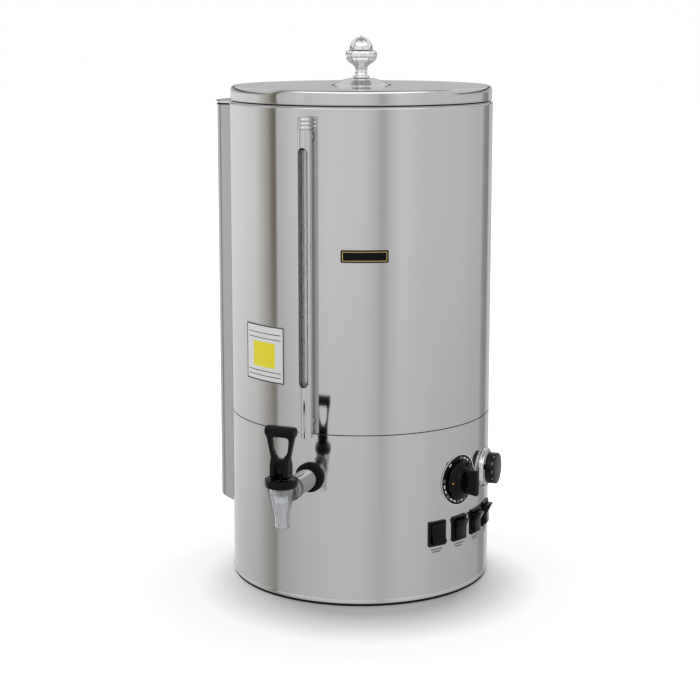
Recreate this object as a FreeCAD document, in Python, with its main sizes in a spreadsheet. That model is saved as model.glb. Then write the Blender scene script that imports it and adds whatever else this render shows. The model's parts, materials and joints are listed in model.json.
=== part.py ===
"""Coffee urn: a double-walled steel urn with a front tap, a sight gauge, a riser column and a control base.

Frame: millimetres, +Z up. The origin lies on the urn's axis at the underside of its foot ring.
The tap and the gauge face -Y. An azimuth is counted from -Y towards +X.
"""
import FreeCAD, Part
import math
import os
import re
import Sketcher
from FreeCAD import Placement, Rotation, Vector

# Driving dimensions, in millimetres, degrees or counts
SIZES = {
    # Outer body
    "body_radius": 160.0,
    "sheet_wall": 1.0,
    "jacket_top": 585.0,
    "jacket_rim_width": 9.5,
    "seam_height": 207.0,
    "seam_gap": 1.2,
    "seam_recess": 0.5,
    "joint_band_height": 16.0,
    "shelf_width": 30.0,
    "foot_height": 6.0,
    "foot_width": 13.0,
    "foot_inset": 0.4,
    "housing_flange": 14.0,
    "base_plate_wall": 1.2,
    "base_plate_clearance": 0.6,
    "vent_count": 12.0,
    "vent_inset": 65.0,
    "vent_hole": 5.0,
    "base_screw_count": 6.0,
    "base_screw_inset": 8.0,
    "base_screw_shank": 2.0,
    "base_screw_head": 3.8,
    "base_screw_head_height": 2.4,
    "base_screw_recess": 3.6,
    "base_screw_end": 3.0,
    # Tank
    "jacket_space": 12.0,
    "tank_wall": 1.0,
    "tank_rise": 6.0,
    "tank_flange_inset": 3.0,
    "tank_bead_drop": 55.0,
    "tank_bead": 5.0,
    # Pipes and heater under the tank
    "outlet_radius": 11.0,
    "outlet_bend": 26.0,
    "heater_inset": 88.0,
    "heater_tube": 4.0,
    "heater_sweep": 330.0,
    "heater_terminal": 22.0,
    "cutout_radius": 9.0,
    "cutout_height": 9.0,
    "cutout_azimuth": 160.0,
    # Pump and riser
    "riser_azimuth": -90.0,
    "pump_inset": 70.0,
    "pump_motor_radius": 27.0,
    "pump_motor_height": 70.0,
    "pump_head_radius": 31.0,
    "pump_head_height": 26.0,
    "pump_port": 7.5,
    "pump_port_length": 9.0,
    "suction_hose_wall": 2.0,
    "riser_pipe_radius": 6.0,
    "riser_pipe_wall": 1.0,
    "riser_drop": 19.0,
    "riser_bend": 11.0,
    "spray_hub_radius": 14.0,
    "spray_plate_radius": 32.0,
    "spray_plate_wall": 4.0,
    "spray_hub_height": 20.0,
    # Coffee basket
    "basket_clearance": 15.0,
    "basket_depth": 95.0,
    "basket_wall": 0.8,
    "basket_rim_clearance": 2.0,
    "basket_hole": 1.6,
    "basket_hole_count": 18.0,
    # Riser column
    "column_depth": 25.0,
    "column_width": 60.0,
    "column_corner": 12.0,
    "column_bottom": 81.0,
    "column_slope": 10.0,
    "column_drop": 4.0,
    "column_cap_height": 4.0,
    "column_cap_overhang": 2.0,
    "plug_azimuth": -77.0,
    "plug_drop": 13.0,
    "plug_radius": 4.0,
    "plug_proud": 3.0,
    # Lid
    "lid_inset": 1.2,
    "lid_gap": 2.5,
    "lid_height": 19.4,
    "lid_round": 3.5,
    "lid_gasket_height": 1.5,
    "lid_gasket_width": 7.0,
    "lid_plug_clearance": 3.5,
    "lid_plug_depth": 9.0,
    "dome_radius": 41.0,
    "dome_rise": 8.2,
    "dome_seat": 12.5,
    # Knob on the lid
    "knob_foot": 10.4,
    "knob_foot_height": 3.4,
    "knob_neck": 7.2,
    "knob_neck_top": 12.4,
    "knob_cup": 19.4,
    "knob_cup_middle": 28.4,
    "knob_cup_top": 34.1,
    "knob_acorn": 14.2,
    "knob_height": 51.4,
    "knob_stud": 3.0,
    "knob_stud_length": 8.0,
    "nut_height": 5.0,
    # Sight gauge
    "gauge_standoff": 11.4,
    "guard_radius": 8.0,
    "guard_wall": 1.0,
    "guard_foot": 16.7,
    "guard_end": 7.7,
    "slot_foot": 59.7,
    "slot_end_drop": 18.7,
    "guard_slot_width": 11.6,
    "glass_radius": 5.2,
    "glass_wall": 1.5,
    "stem_radius": 5.8,
    "stem_bore": 3.2,
    "stem_rise": 9.0,
    "stem_drop": 33.0,
    "stem_inside": 11.0,
    "fitting_ledge": 4.5,
    "fitting_half": 13.0,
    "seal_height": 2.0,
    "gauge_nut_width": 15.6,
    "gauge_cap_height": 15.9,
    "gauge_cap_groove": 0.9,
    # Tap
    "tap_height": 154.5,
    "tap_standoff": 81.0,
    "shank_radius": 12.25,
    "shank_bore": 9.5,
    "shank_inside": 32.0,
    "gasket_radius": 17.5,
    "gasket_height": 5.0,
    "shank_flange": 14.8,
    "shank_flange_wall": 1.5,
    "tap_nut_width": 34.0,
    "collar_radius": 13.6,
    "collar_start": 20.0,
    "collar_length": 13.0,
    "socket_depth": 11.0,
    "inlet_radius": 10.0,
    "inlet_bore": 8.5,
    "spout_drop": 37.5,
    "spout_radius": 9.0,
    "spout_straight": 18.0,
    "spout_bore": 6.2,
    "tap_cone_top": 10.2,
    "tap_cone_radius": 15.15,
    "tap_neck_radius": 13.2,
    "tap_neck_top": 13.7,
    "tap_chamber": 11.6,
    "valve_seat_drop": 7.5,
    "bonnet_radius": 19.0,
    "bonnet_taper": 1.0,
    "bonnet_height": 9.5,
    "bonnet_recess_radius": 10.5,
    "bonnet_recess": 4.0,
    "seat_radius": 7.2,
    "seat_height": 7.0,
    "tap_stem_radius": 2.5,
    "stem_head_radius": 4.5,
    "stem_head_width": 8.0,
    "spring_radius": 5.6,
    "spring_wire": 0.6,
    "spring_turns": 5.0,
    "tap_pin_radius": 1.5,
    "pin_rise": 7.3,
    "handle_height": 59.0,
    "handle_top_width": 35.0,
    "handle_waist_width": 20.5,
    "handle_foot_width": 22.8,
    "handle_foot_depth": 14.6,
    "handle_foot_height": 20.0,
    "handle_frame_depth": 8.0,
    "handle_bar_depth": 11.0,
    "handle_bar_height": 12.0,
    "handle_corner": 4.5,
    "loop_top_width": 17.0,
    "loop_bottom": 24.0,
    "loop_top": 47.5,
    "loop_radius": 4.5,
    # Controls
    "control_height": 140.4,
    "thermostat_azimuth": 69.4,
    "timer_azimuth": 93.0,
    "dial_radius": 31.0,
    "dial_wall": 0.25,
    "thermostat_width": 36.0,
    "thermostat_depth": 24.0,
    "thermostat_setback": 7.0,
    "timer_width": 44.0,
    "timer_depth": 30.0,
    "control_collar": 9.0,
    "control_spindle": 3.0,
    "control_spindle_length": 16.0,
    "knob_lift": 1.2,
    "skirt_radius": 23.5,
    "skirt_height": 6.5,
    "grip_boss_radius": 15.0,
    "grip_boss_height": 10.5,
    "grip_width": 9.0,
    "grip_length": 31.0,
    "grip_height": 25.5,
    "bezel_radius": 25.0,
    "bezel_height": 5.0,
    "timer_knob_radius": 19.0,
    "timer_knob_height": 12.0,
    # Thermostat bulb
    "bulb_radius": 3.0,
    "bulb_length": 33.0,
    "capillary_radius": 1.0,
    "capillary_inset": 49.0,
    "capillary_bend": 7.0,
    "capillary_rise": 9.6,
    # Rocker switches
    "switch_azimuth": 56.3,
    "switch_pitch": 13.1,
    "switch_height": 81.0,
    "switch_width": 24.5,
    "switch_tall": 30.5,
    "switch_frame_proud": 2.0,
    "switch_body_width": 21.6,
    "switch_body_tall": 27.6,
    "switch_depth": 22.0,
    "switch_cavity_depth": 12.0,
    "rocker_width": 18.4,
    "rocker_tall": 23.6,
    "rocker_end_rise": 6.3,
    "rocker_valley": 3.4,
    "rocker_tilt": 12.0,
    "rocker_pin": 1.2,
    # Plates and labels on the skin
    "plate_azimuth": 23.3,
    "plate_height": 417.0,
    "plate_width": 55.0,
    "plate_tall": 14.5,
    "plate_wall": 0.8,
    "plate_corner": 1.5,
    "label_azimuth": -24.0,
    "label_height": 295.0,
    "label_width": 66.0,
    "label_tall": 68.0,
    "label_wall": 0.25,
    "glue_line": 0.15,
    # Cable gland
    "gland_azimuth": 180.0,
    "gland_height": 36.0,
    "gland_radius": 8.0,
    "gland_flange": 12.0,
    "gland_length": 12.0,
    "gland_bore": 4.2,
    # Clearances
    "running_clearance": 0.08,
    "hole_clearance": 0.3,
    "cavity_clearance": 0.6,
    "handle_clearance": 0.2,
}

# Sizes that follow from the driving dimensions, as formulas in their names
FOLLOWING = {
    "tank_radius": "body_radius - jacket_space",
    "tank_flange": "body_radius - tank_flange_inset",
    "tank_floor": "seam_height + tank_rise",
    "tank_bead_height": "jacket_top - tank_bead_drop",
    "shelf_inner_radius": "tank_radius - shelf_width",
    "vent_radius": "body_radius - vent_inset",
    "heater_ring_radius": "tank_radius - heater_inset",
    "cutout_place": "(heater_ring_radius - heater_tube + outlet_radius)/2",
    "pump_place": "body_radius - pump_inset",
    "column_reach": "body_radius + column_depth",
    "column_top": "jacket_top - column_drop",
    "plug_height": "column_bottom - plug_drop",
    "riser_place": "body_radius + column_depth*0.48",
    "riser_top": "jacket_top - riser_drop",
    "basket_radius": "tank_radius - tank_wall - basket_clearance",
    "basket_rim": "tank_radius - tank_wall - basket_rim_clearance",
    "lid_radius": "body_radius - lid_inset",
    "lid_top": "jacket_top + lid_height",
    "lid_plug_radius": "tank_radius - tank_wall - lid_plug_clearance",
    "gauge_place": "body_radius + gauge_standoff",
    "stem_low": "tank_floor + stem_rise",
    "stem_high": "jacket_top - stem_drop",
    "guard_bottom": "stem_low - guard_foot",
    "guard_top": "stem_high + guard_end",
    "guard_slot_bottom": "guard_bottom + slot_foot",
    "guard_slot_top": "guard_top - slot_end_drop",
    "tap_place": "body_radius + tap_standoff",
    "shank_inner_end": "body_radius - shank_inside",
    "bulb_start": "heater_ring_radius + heater_tube + bulb_radius",
    "capillary_place": "body_radius - capillary_inset",
    "capillary_entry": "control_height + capillary_rise",
}

# Lengths that several pieces share, worked out from the driving dimensions
INNER_RADIUS = "(body_radius - sheet_wall)"
HOUSING_TOP = "(seam_height - seam_gap/2)"
JACKET_BOTTOM = "(seam_height + seam_gap/2)"
FLANGE_TOP = "(foot_height + sheet_wall)"
PLATE_TOP = f"({FLANGE_TOP} + base_plate_wall)"
SCREW_PLACE = "(body_radius - base_screw_inset)"
TANK_INNER = "(tank_radius - tank_wall)"
TANK_FLANGE_TOP = "(jacket_top + tank_wall)"
BASKET_SEAT = "(tank_bead_height + tank_wall)"
LID_BOTTOM = "(jacket_top + lid_gap)"
DOME_TOP = "(lid_top + dome_rise)"
PUMP_HEAD_BOTTOM = f"({PLATE_TOP} + pump_motor_height)"
PUMP_HEAD_TOP = f"({PUMP_HEAD_BOTTOM} + pump_head_height)"
RISER_ENTRY = f"({PUMP_HEAD_BOTTOM} + pump_head_height/2)"
PUMP_PORT_END = "(pump_place + pump_head_radius + pump_port_length)"
GUARD_BORE = "(guard_radius - guard_wall)"
TAP_AXIS_OUT = "tap_place"
COLLAR_INNER = "(tap_place - collar_start)"
SHANK_END = f"({COLLAR_INNER} - collar_length + socket_depth)"
GASKET_FACE = "(body_radius + gasket_height)"
BONNET_BOTTOM = "(tap_height + tap_cone_top)"
BONNET_TOP = f"({BONNET_BOTTOM} + bonnet_height)"
NECK_TOP = "(tap_height + tap_neck_top)"
VALVE_SEAT = "(tap_height - valve_seat_drop)"
SEAT_TOP = f"({VALVE_SEAT} + seat_height)"
PIN_HEIGHT = f"({BONNET_TOP} + pin_rise)"
SPRING_LENGTH = f"({NECK_TOP} - {SEAT_TOP})"

# Where a blank that the wall's curve trims starts, and how close two sketch points count as one
BEHIND_WALL = "(body_radius*0.9)"
SAME_POINT = 1e-6

doc = FreeCAD.newDocument("coffee_urn")
sheet = doc.addObject("Spreadsheet::Sheet", "sizes")
parts = []


def fill_sheet():
    """Write each size on a row of its own, with its name as the cell's alias."""
    rows = [(alias, str(value)) for alias, value in SIZES.items()]
    rows += [(alias, f"={formula}") for alias, formula in FOLLOWING.items()]
    for row, (alias, content) in enumerate(rows, start=1):
        sheet.set(f"A{row}", alias)
        sheet.set(f"B{row}", content)
        sheet.setAlias(f"B{row}", alias)
        doc.recompute()


def number(formula):
    """The present value of a formula in the sheet's names."""
    value = sheet.evalExpression(str(formula))
    return float(getattr(value, "Value", value))


def linked(formula):
    """The formula as another object writes it, with the sheet's name before each alias."""
    return re.sub(r"\b([a-z]+(?:_[a-z]+)+)\b", r"sizes.\1", str(formula))


def bind(thing, **formulas):
    """Tie properties of an object to the sheet."""
    for name, formula in formulas.items():
        thing.setExpression(name, linked(formula))
    return thing


def place(thing, out="0", up="0", azimuth="0", turn="0", side="0"):
    """Set a piece that was built facing -Y at its distance, height and azimuth.

    turn rolls it about its own X first: 90 makes its local +Z point away from the urn's axis.
    """
    across = f"({out})*sin({azimuth}) + ({side})*cos({azimuth})"
    along = f"({side})*sin({azimuth}) - ({out})*cos({azimuth})"
    formula = f"placement(vector({across}; {along}; {up}); rotation({azimuth}; 0; {turn}))"
    thing.setExpression("Placement", linked(formula))
    return thing


def part(thing, label):
    """Name a finished sub-part and list it for export."""
    thing.Label = label
    parts.append(thing)
    return thing


def body(name):
    return doc.addObject("PartDesign::Body", name)


def origin_plane(owner, role):
    return next(item for item in owner.Origin.OriginFeatures if item.Role == role)


def start_sketch(owner, role, lift="0", swing="0"):
    """A sketch on an origin plane, lifted along its normal or swung about its upright axis."""
    drawing = owner.newObject("Sketcher::SketchObject", f"{owner.Name}_sketch")
    drawing.AttachmentSupport = (origin_plane(owner, role), [""])
    drawing.MapMode = "FlatFace"
    if swing != "0":
        drawing.AttachmentOffset = Placement(Vector(), Rotation(Vector(0, 1, 0), number(swing)))
        drawing.setExpression(".AttachmentOffset.Rotation.Angle", linked(swing))
    if lift != "0":
        drawing.setExpression(".AttachmentOffset.Base.z", linked(lift))
    return drawing


def hold(drawing, kind, geometry, point, formula):
    """Bind one coordinate or radius of a sketch to the sheet."""
    where = (geometry, point) if point else (geometry,)
    index = drawing.addConstraint(Sketcher.Constraint(kind, *where, number(formula)))
    drawing.setExpression(f"Constraints[{index}]", linked(formula))


def add_loop(drawing, points):
    """A closed outline of points (x, y).

    A third value reaches the point by an arc that bulges that far to the right of the way there.
    """
    spots = [Vector(number(item[0]), number(item[1]), 0) for item in points]
    first = drawing.GeometryCount
    count = len(points)
    ends = []
    for index, item in enumerate(points):
        start, end = spots[index - 1], spots[index]
        curve = Part.LineSegment(start, end)
        if len(item) == 3:
            way = (end - start).normalize()
            bulge = number(item[2])
            middle = (start + end) * 0.5 + Vector(way.y, -way.x, 0) * bulge
            curve = Part.Arc(start, middle, end) if bulge > 0 else Part.Arc(end, middle, start)
        drawing.addGeometry(curve)
        forward = (drawing.Geometry[first + index].StartPoint - start).Length < SAME_POINT
        ends.append((1, 2) if forward else (2, 1))
    for index, item in enumerate(points):
        here, after = first + index, first + (index + 1) % count
        drawing.addConstraint(Sketcher.Constraint(
            "Coincident", here, ends[index][1], after, ends[(index + 1) % count][0]))
        hold(drawing, "DistanceX", here, ends[index][1], item[0])
        hold(drawing, "DistanceY", here, ends[index][1], item[1])
        if len(item) == 3:
            x, y = points[index - 1][:2]
            chord = f"(({item[0]} - ({x}))^2 + ({item[1]} - ({y}))^2)"
            hold(drawing, "Radius", here, None, f"{chord}/8/abs({item[2]}) + abs({item[2]})/2")


def quarter(corner):
    """How far a quarter round of this radius bulges from its chord."""
    return f"({corner})*(1 - sin(45))"


def add_circle(drawing, x, y, radius):
    index = drawing.addGeometry(Part.Circle(Vector(number(x), number(y), 0), Vector(0, 0, 1), number(radius)))
    hold(drawing, "DistanceX", index, 3, x)
    hold(drawing, "DistanceY", index, 3, y)
    hold(drawing, "Radius", index, None, radius)


def box_points(x, y, width, tall):
    """Corners of an upright rectangle with its middle at x, y."""
    left, right = f"({x}) - ({width})/2", f"({x}) + ({width})/2"
    low, high = f"({y}) - ({tall})/2", f"({y}) + ({tall})/2"
    return [(left, low), (right, low), (right, high), (left, high)]


def rounded_points(x, y, width, tall, corner):
    """A rectangle with its middle at x, y and quarter-round corners."""
    points = []
    for across, upward in ((1, -1), (1, 1), (-1, 1), (-1, -1)):
        edge_x, edge_y = f"({x}) + {across}*({width})/2", f"({y}) + {upward}*({tall})/2"
        ends = [(f"{edge_x} - {across}*({corner})", edge_y), (edge_x, f"{edge_y} - {upward}*({corner})")]
        if across == upward:
            ends.reverse()
        points.append(ends[0])
        points.append((*ends[1], quarter(corner)))
    return points


def feature(owner, kind, drawing, **settings):
    """Add a PartDesign feature made from a sketch."""
    made = owner.newObject(f"PartDesign::{kind}", f"{owner.Name}_{kind}")
    made.Profile = drawing
    for name, value in settings.items():
        if name == "Length":
            made.setExpression("Length", linked(value))
        else:
            setattr(made, name, value)
    return made


def turned(owner, points, kind="Revolution", role="XZ_Plane"):
    """Turn a closed outline round the body's upright axis, as a solid or as a cut."""
    drawing = start_sketch(owner, role)
    add_loop(drawing, points)
    return feature(owner, kind, drawing, ReferenceAxis=(drawing, ["V_Axis"]), Angle=360)


def pad(owner, role, loops, length, lift="0", back=False, both=False, kind="Pad", swing="0", circles=()):
    """Raise or cut outlines straight from a plane. back reverses it, both spreads it either side."""
    drawing = start_sketch(owner, role, lift, swing)
    for points in loops:
        add_loop(drawing, points)
    for circle in circles:
        add_circle(drawing, *circle)
    side = "Symmetric" if both else "One side"
    return feature(owner, kind, drawing, Length=length, SideType=side, Reversed=back)


def radial_cut(owner, height, azimuth, outline=None, radius=None):
    """Cut a window through the wall on one side only, from the axis outwards."""
    loops = [outline] if outline else []
    circles = [("0", height, radius)] if radius else []
    reach = "body_radius + tap_place"
    return pad(owner, "XZ_Plane", loops, reach, back=True, kind="Pocket", swing=azimuth, circles=circles)


def repeat(owner, originals, count):
    """Copy features round the body's upright axis."""
    pattern = owner.newObject("PartDesign::PolarPattern", f"{owner.Name}_pattern")
    pattern.Originals = originals
    pattern.Axis = (originals[0].Profile[0], ["N_Axis"])
    pattern.Angle = 360
    pattern.setExpression("Occurrences", linked(count))
    owner.Tip = pattern
    return pattern


def pipe(owner, corners, bend, radius, bore=None):
    """Sweep a round section along straight runs joined by tangent arcs, in the XZ plane."""
    spots = [Vector(number(x), number(y), 0) for x, y in corners]
    turn = number(bend)
    shapes = []
    start = spots[0]
    for before, corner, after in zip(spots, spots[1:], spots[2:]):
        back = (before - corner).normalize()
        ahead = (after - corner).normalize()
        enter, leave = corner + back * turn, corner + ahead * turn
        centre = corner + (back + ahead) * turn
        middle = centre + (corner - centre).normalize() * turn
        shapes.append(Part.LineSegment(start, enter))
        shapes.append(Part.Arc(enter, middle, leave))
        start = leave
    shapes.append(Part.LineSegment(start, spots[-1]))
    edges = [item.toShape() for item in shapes]
    path = Part.Wire(Part.__sortEdges__(edges))
    path.rotate(Vector(), Vector(1, 0, 0), 90)
    origin = Vector(spots[0].x, 0, spots[0].y)
    heading = Vector((spots[1] - spots[0]).x, 0, (spots[1] - spots[0]).y)
    solids = []
    for size in [radius] + ([bore] if bore else []):
        ring = Part.Wire(Part.makeCircle(number(size), origin, heading))
        solids.append(path.makePipeShell([ring], True, True))
    shape = solids[0].cut(solids[1]) if bore else solids[0]
    owner.Shape = shape
    return shape


def primitive(kind, name, **formulas):
    return bind(doc.addObject(f"Part::{kind}", name), **formulas)


def join(kind, name, base, tool):
    made = doc.addObject(f"Part::{kind}", name)
    made.Base, made.Tool = base, tool
    return made


def gather(name, pieces):
    made = doc.addObject("Part::Compound", name)
    made.Links = pieces
    return made


def upright_cylinder(name, radius, low, high):
    return bind(primitive("Cylinder", name, Radius=radius, Height=f"({high}) - ({low})"),
                **{".Placement.Base.z": low})


def cover_solids():
    """Foot ring, base plate and the screws that hold them to the housing's flange."""
    foot_outer = "(body_radius - foot_inset)"
    ring = body("foot_ring")
    inner = f"({foot_outer} - foot_width)"
    turned(ring, [(inner, "0"), (foot_outer, "0"), (foot_outer, "foot_height"), (inner, "foot_height")])
    hole = pad(ring, "XY_Plane", [], "foot_height", back=True, kind="Pocket",
               circles=[(SCREW_PLACE, "0", "base_screw_shank + hole_clearance")])
    recess = pad(ring, "XY_Plane", [], "base_screw_recess", back=True, kind="Pocket",
                 circles=[(SCREW_PLACE, "0", "base_screw_head + hole_clearance")])
    repeat(ring, [hole, recess], "base_screw_count")
    part(ring, "foot_ring")

    plate = body("base_plate")
    edge = f"({INNER_RADIUS} - base_plate_clearance)"
    pad(plate, "XY_Plane", [], "base_plate_wall", lift=FLANGE_TOP, circles=[("0", "0", edge)])
    vents = pad(plate, "XY_Plane", [], PLATE_TOP, back=True, kind="Pocket",
                circles=[(f"vent_radius + {step}*3*vent_hole", "0", "vent_hole") for step in (0, 1)])
    repeat(plate, [vents], "vent_count")
    holes = pad(plate, "XY_Plane", [], PLATE_TOP, back=True, kind="Pocket",
                circles=[(SCREW_PLACE, "0", "base_screw_shank + hole_clearance")])
    repeat(plate, [holes], "base_screw_count")
    part(plate, "base_plate")

    screws = []
    for index in range(int(number("base_screw_count"))):
        screw = body(f"base_screw_{index + 1}")
        head_low = "(base_screw_recess - base_screw_head_height)"
        turned(screw, [("0", head_low), ("base_screw_head", head_low),
                       ("base_screw_head", "base_screw_recess"), ("base_screw_shank", "base_screw_recess"),
                       ("base_screw_shank", f"{PLATE_TOP} + base_screw_end"),
                       ("0", f"{PLATE_TOP} + base_screw_end")])
        place(screw, out=SCREW_PLACE, azimuth=f"90 + {index}*360/base_screw_count")
        screws.append(screw)
    part(gather("base_screws", screws), "base_screws")


def shell_solids():
    """Lower housing, the band behind the seam and the upper jacket."""
    housing = body("lower_housing")
    flange_inner = "(body_radius - housing_flange)"
    turned(housing, [(flange_inner, "foot_height"), ("body_radius", "foot_height"),
                     ("body_radius", HOUSING_TOP), (INNER_RADIUS, HOUSING_TOP),
                     (INNER_RADIUS, FLANGE_TOP), (flange_inner, FLANGE_TOP)])
    holes = pad(housing, "XY_Plane", [], FLANGE_TOP, back=True, kind="Pocket",
                circles=[(SCREW_PLACE, "0", "base_screw_shank + hole_clearance")])
    repeat(housing, [holes], "base_screw_count")
    radial_cut(housing, "tap_height", "0", radius="shank_radius + hole_clearance")
    for azimuth in ("thermostat_azimuth", "timer_azimuth"):
        radial_cut(housing, "control_height", azimuth, radius="control_spindle + 2*hole_clearance")
    window = box_points("0", "switch_height", "switch_body_width + 2*hole_clearance",
                        "switch_body_tall + 2*hole_clearance")
    for index in range(4):
        radial_cut(housing, "switch_height", switch_azimuth(index), outline=window)
    radial_cut(housing, RISER_ENTRY, "riser_azimuth", radius="riser_pipe_radius + hole_clearance")
    radial_cut(housing, "gland_height", "gland_azimuth", radius="gland_radius + hole_clearance")
    radial_cut(housing, "plug_height", "plug_azimuth", radius="plug_radius/2 + hole_clearance")
    part(housing, "lower_housing")

    band = body("support_ring")
    low, high = f"({HOUSING_TOP} - joint_band_height/2)", f"({JACKET_BOTTOM} + joint_band_height/2)"
    band_inner = f"({INNER_RADIUS} - sheet_wall)"
    lip = "(body_radius - seam_recess)"
    upstand = "(shelf_inner_radius + sheet_wall)"
    turned(band, [("shelf_inner_radius", HOUSING_TOP), (band_inner, HOUSING_TOP), (band_inner, low),
                  (INNER_RADIUS, low), (INNER_RADIUS, HOUSING_TOP), (lip, HOUSING_TOP),
                  (lip, JACKET_BOTTOM), (INNER_RADIUS, JACKET_BOTTOM), (INNER_RADIUS, high),
                  (band_inner, high), (band_inner, JACKET_BOTTOM), (upstand, JACKET_BOTTOM),
                  (upstand, "tank_floor"), ("shelf_inner_radius", "tank_floor")])
    part(band, "support_ring")

    jacket = body("upper_jacket")
    rim_inner = "(body_radius - jacket_rim_width)"
    turned(jacket, [("body_radius", JACKET_BOTTOM), ("body_radius", "jacket_top - 0.8*sheet_wall"),
                    ("body_radius - 0.8*sheet_wall", "jacket_top", quarter("0.8*sheet_wall")),
                    (rim_inner, "jacket_top"), (rim_inner, "jacket_top - sheet_wall"),
                    (INNER_RADIUS, "jacket_top - sheet_wall"), (INNER_RADIUS, JACKET_BOTTOM)])
    for height in ("stem_low", "stem_high"):
        radial_cut(jacket, height, "0", radius="stem_radius + hole_clearance")
    radial_cut(jacket, "riser_top", "riser_azimuth", radius="riser_pipe_radius + hole_clearance")
    part(jacket, "upper_jacket")


def tank_solids():
    """The inner vessel, its outlet, the heater under it and the basket that hangs in it."""
    tank = body("tank")
    bead_inner = f"({TANK_INNER} - tank_bead)"
    floor_top = "(tank_floor + tank_wall)"
    turned(tank, [("0", "tank_floor"), ("tank_radius", "tank_floor"), ("tank_radius", "jacket_top"),
                  ("tank_flange", "jacket_top"), ("tank_flange", TANK_FLANGE_TOP),
                  (TANK_INNER, TANK_FLANGE_TOP), (TANK_INNER, BASKET_SEAT), (bead_inner, BASKET_SEAT),
                  (bead_inner, "tank_bead_height"), (TANK_INNER, "tank_bead_height"),
                  (TANK_INNER, floor_top), ("0", floor_top)])
    pad(tank, "XY_Plane", [], floor_top, back=True, kind="Pocket",
        circles=[("0", "0", "shank_bore"),
                 ("pump_place*sin(riser_azimuth)", "-pump_place*cos(riser_azimuth)",
                  "pump_port - suction_hose_wall")])
    for height in ("stem_low", "stem_high"):
        radial_cut(tank, height, "0", radius="stem_radius + hole_clearance")
    radial_cut(tank, "riser_top", "riser_azimuth", radius="riser_pipe_radius + hole_clearance")
    part(tank, "tank")

    outlet = doc.addObject("Part::Feature", "outlet_pipe")
    pipe(outlet, [("0", "tank_floor"), ("0", "tap_height"), ("shank_inner_end", "tap_height")],
         "outlet_bend", "outlet_radius", "shank_bore")
    outlet.Placement = Placement(Vector(), Rotation(Vector(0, 0, 1), -90))
    part(outlet, "outlet_pipe")

    heater_height = "(tank_floor - heater_tube)"
    ring = primitive("Torus", "heater_ring", Radius1="heater_ring_radius", Radius2="heater_tube",
                     Angle3="heater_sweep")
    bind(ring, **{".Placement.Base.z": heater_height})
    legs = []
    for index, swing in enumerate(("0", "heater_sweep")):
        leg = upright_cylinder(f"heater_leg_{index + 1}", "heater_tube",
                               f"{heater_height} - heater_terminal", heater_height)
        bind(leg, **{".Placement.Base.x": f"heater_ring_radius*cos({swing})",
                     ".Placement.Base.y": f"heater_ring_radius*sin({swing})"})
        legs.append(leg)
    element = doc.addObject("Part::MultiFuse", "heating_element")
    element.Shapes = [ring] + legs
    part(element, "heating_element")

    cutout = body("overheat_cutout")
    turned(cutout, [("0", "-cutout_height"), ("cutout_radius*0.6", "-cutout_height"),
                    ("cutout_radius*0.6", "-cutout_height/2"), ("cutout_radius", "-cutout_height/2"),
                    ("cutout_radius", "0"), ("0", "0")])
    place(cutout, out="cutout_place", up="tank_floor", azimuth="cutout_azimuth")
    part(cutout, "overheat_cutout")

    basket = body("coffee_basket")
    floor = f"({BASKET_SEAT} - basket_depth)"
    rim_top = f"({BASKET_SEAT} + basket_wall)"
    inside = "(basket_radius - basket_wall)"
    turned(basket, [("0", floor), ("basket_radius", floor), ("basket_radius", BASKET_SEAT),
                    ("basket_rim", BASKET_SEAT), ("basket_rim", rim_top), (inside, rim_top),
                    (inside, f"{floor} + basket_wall"), ("0", f"{floor} + basket_wall")])
    holes = pad(basket, "XY_Plane", [], BASKET_SEAT, back=True, kind="Pocket",
                circles=[(f"basket_radius*{share}/10", "0", "basket_hole") for share in (3, 5, 7, 9)])
    repeat(basket, [holes], "basket_hole_count")
    part(basket, "coffee_basket")


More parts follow.
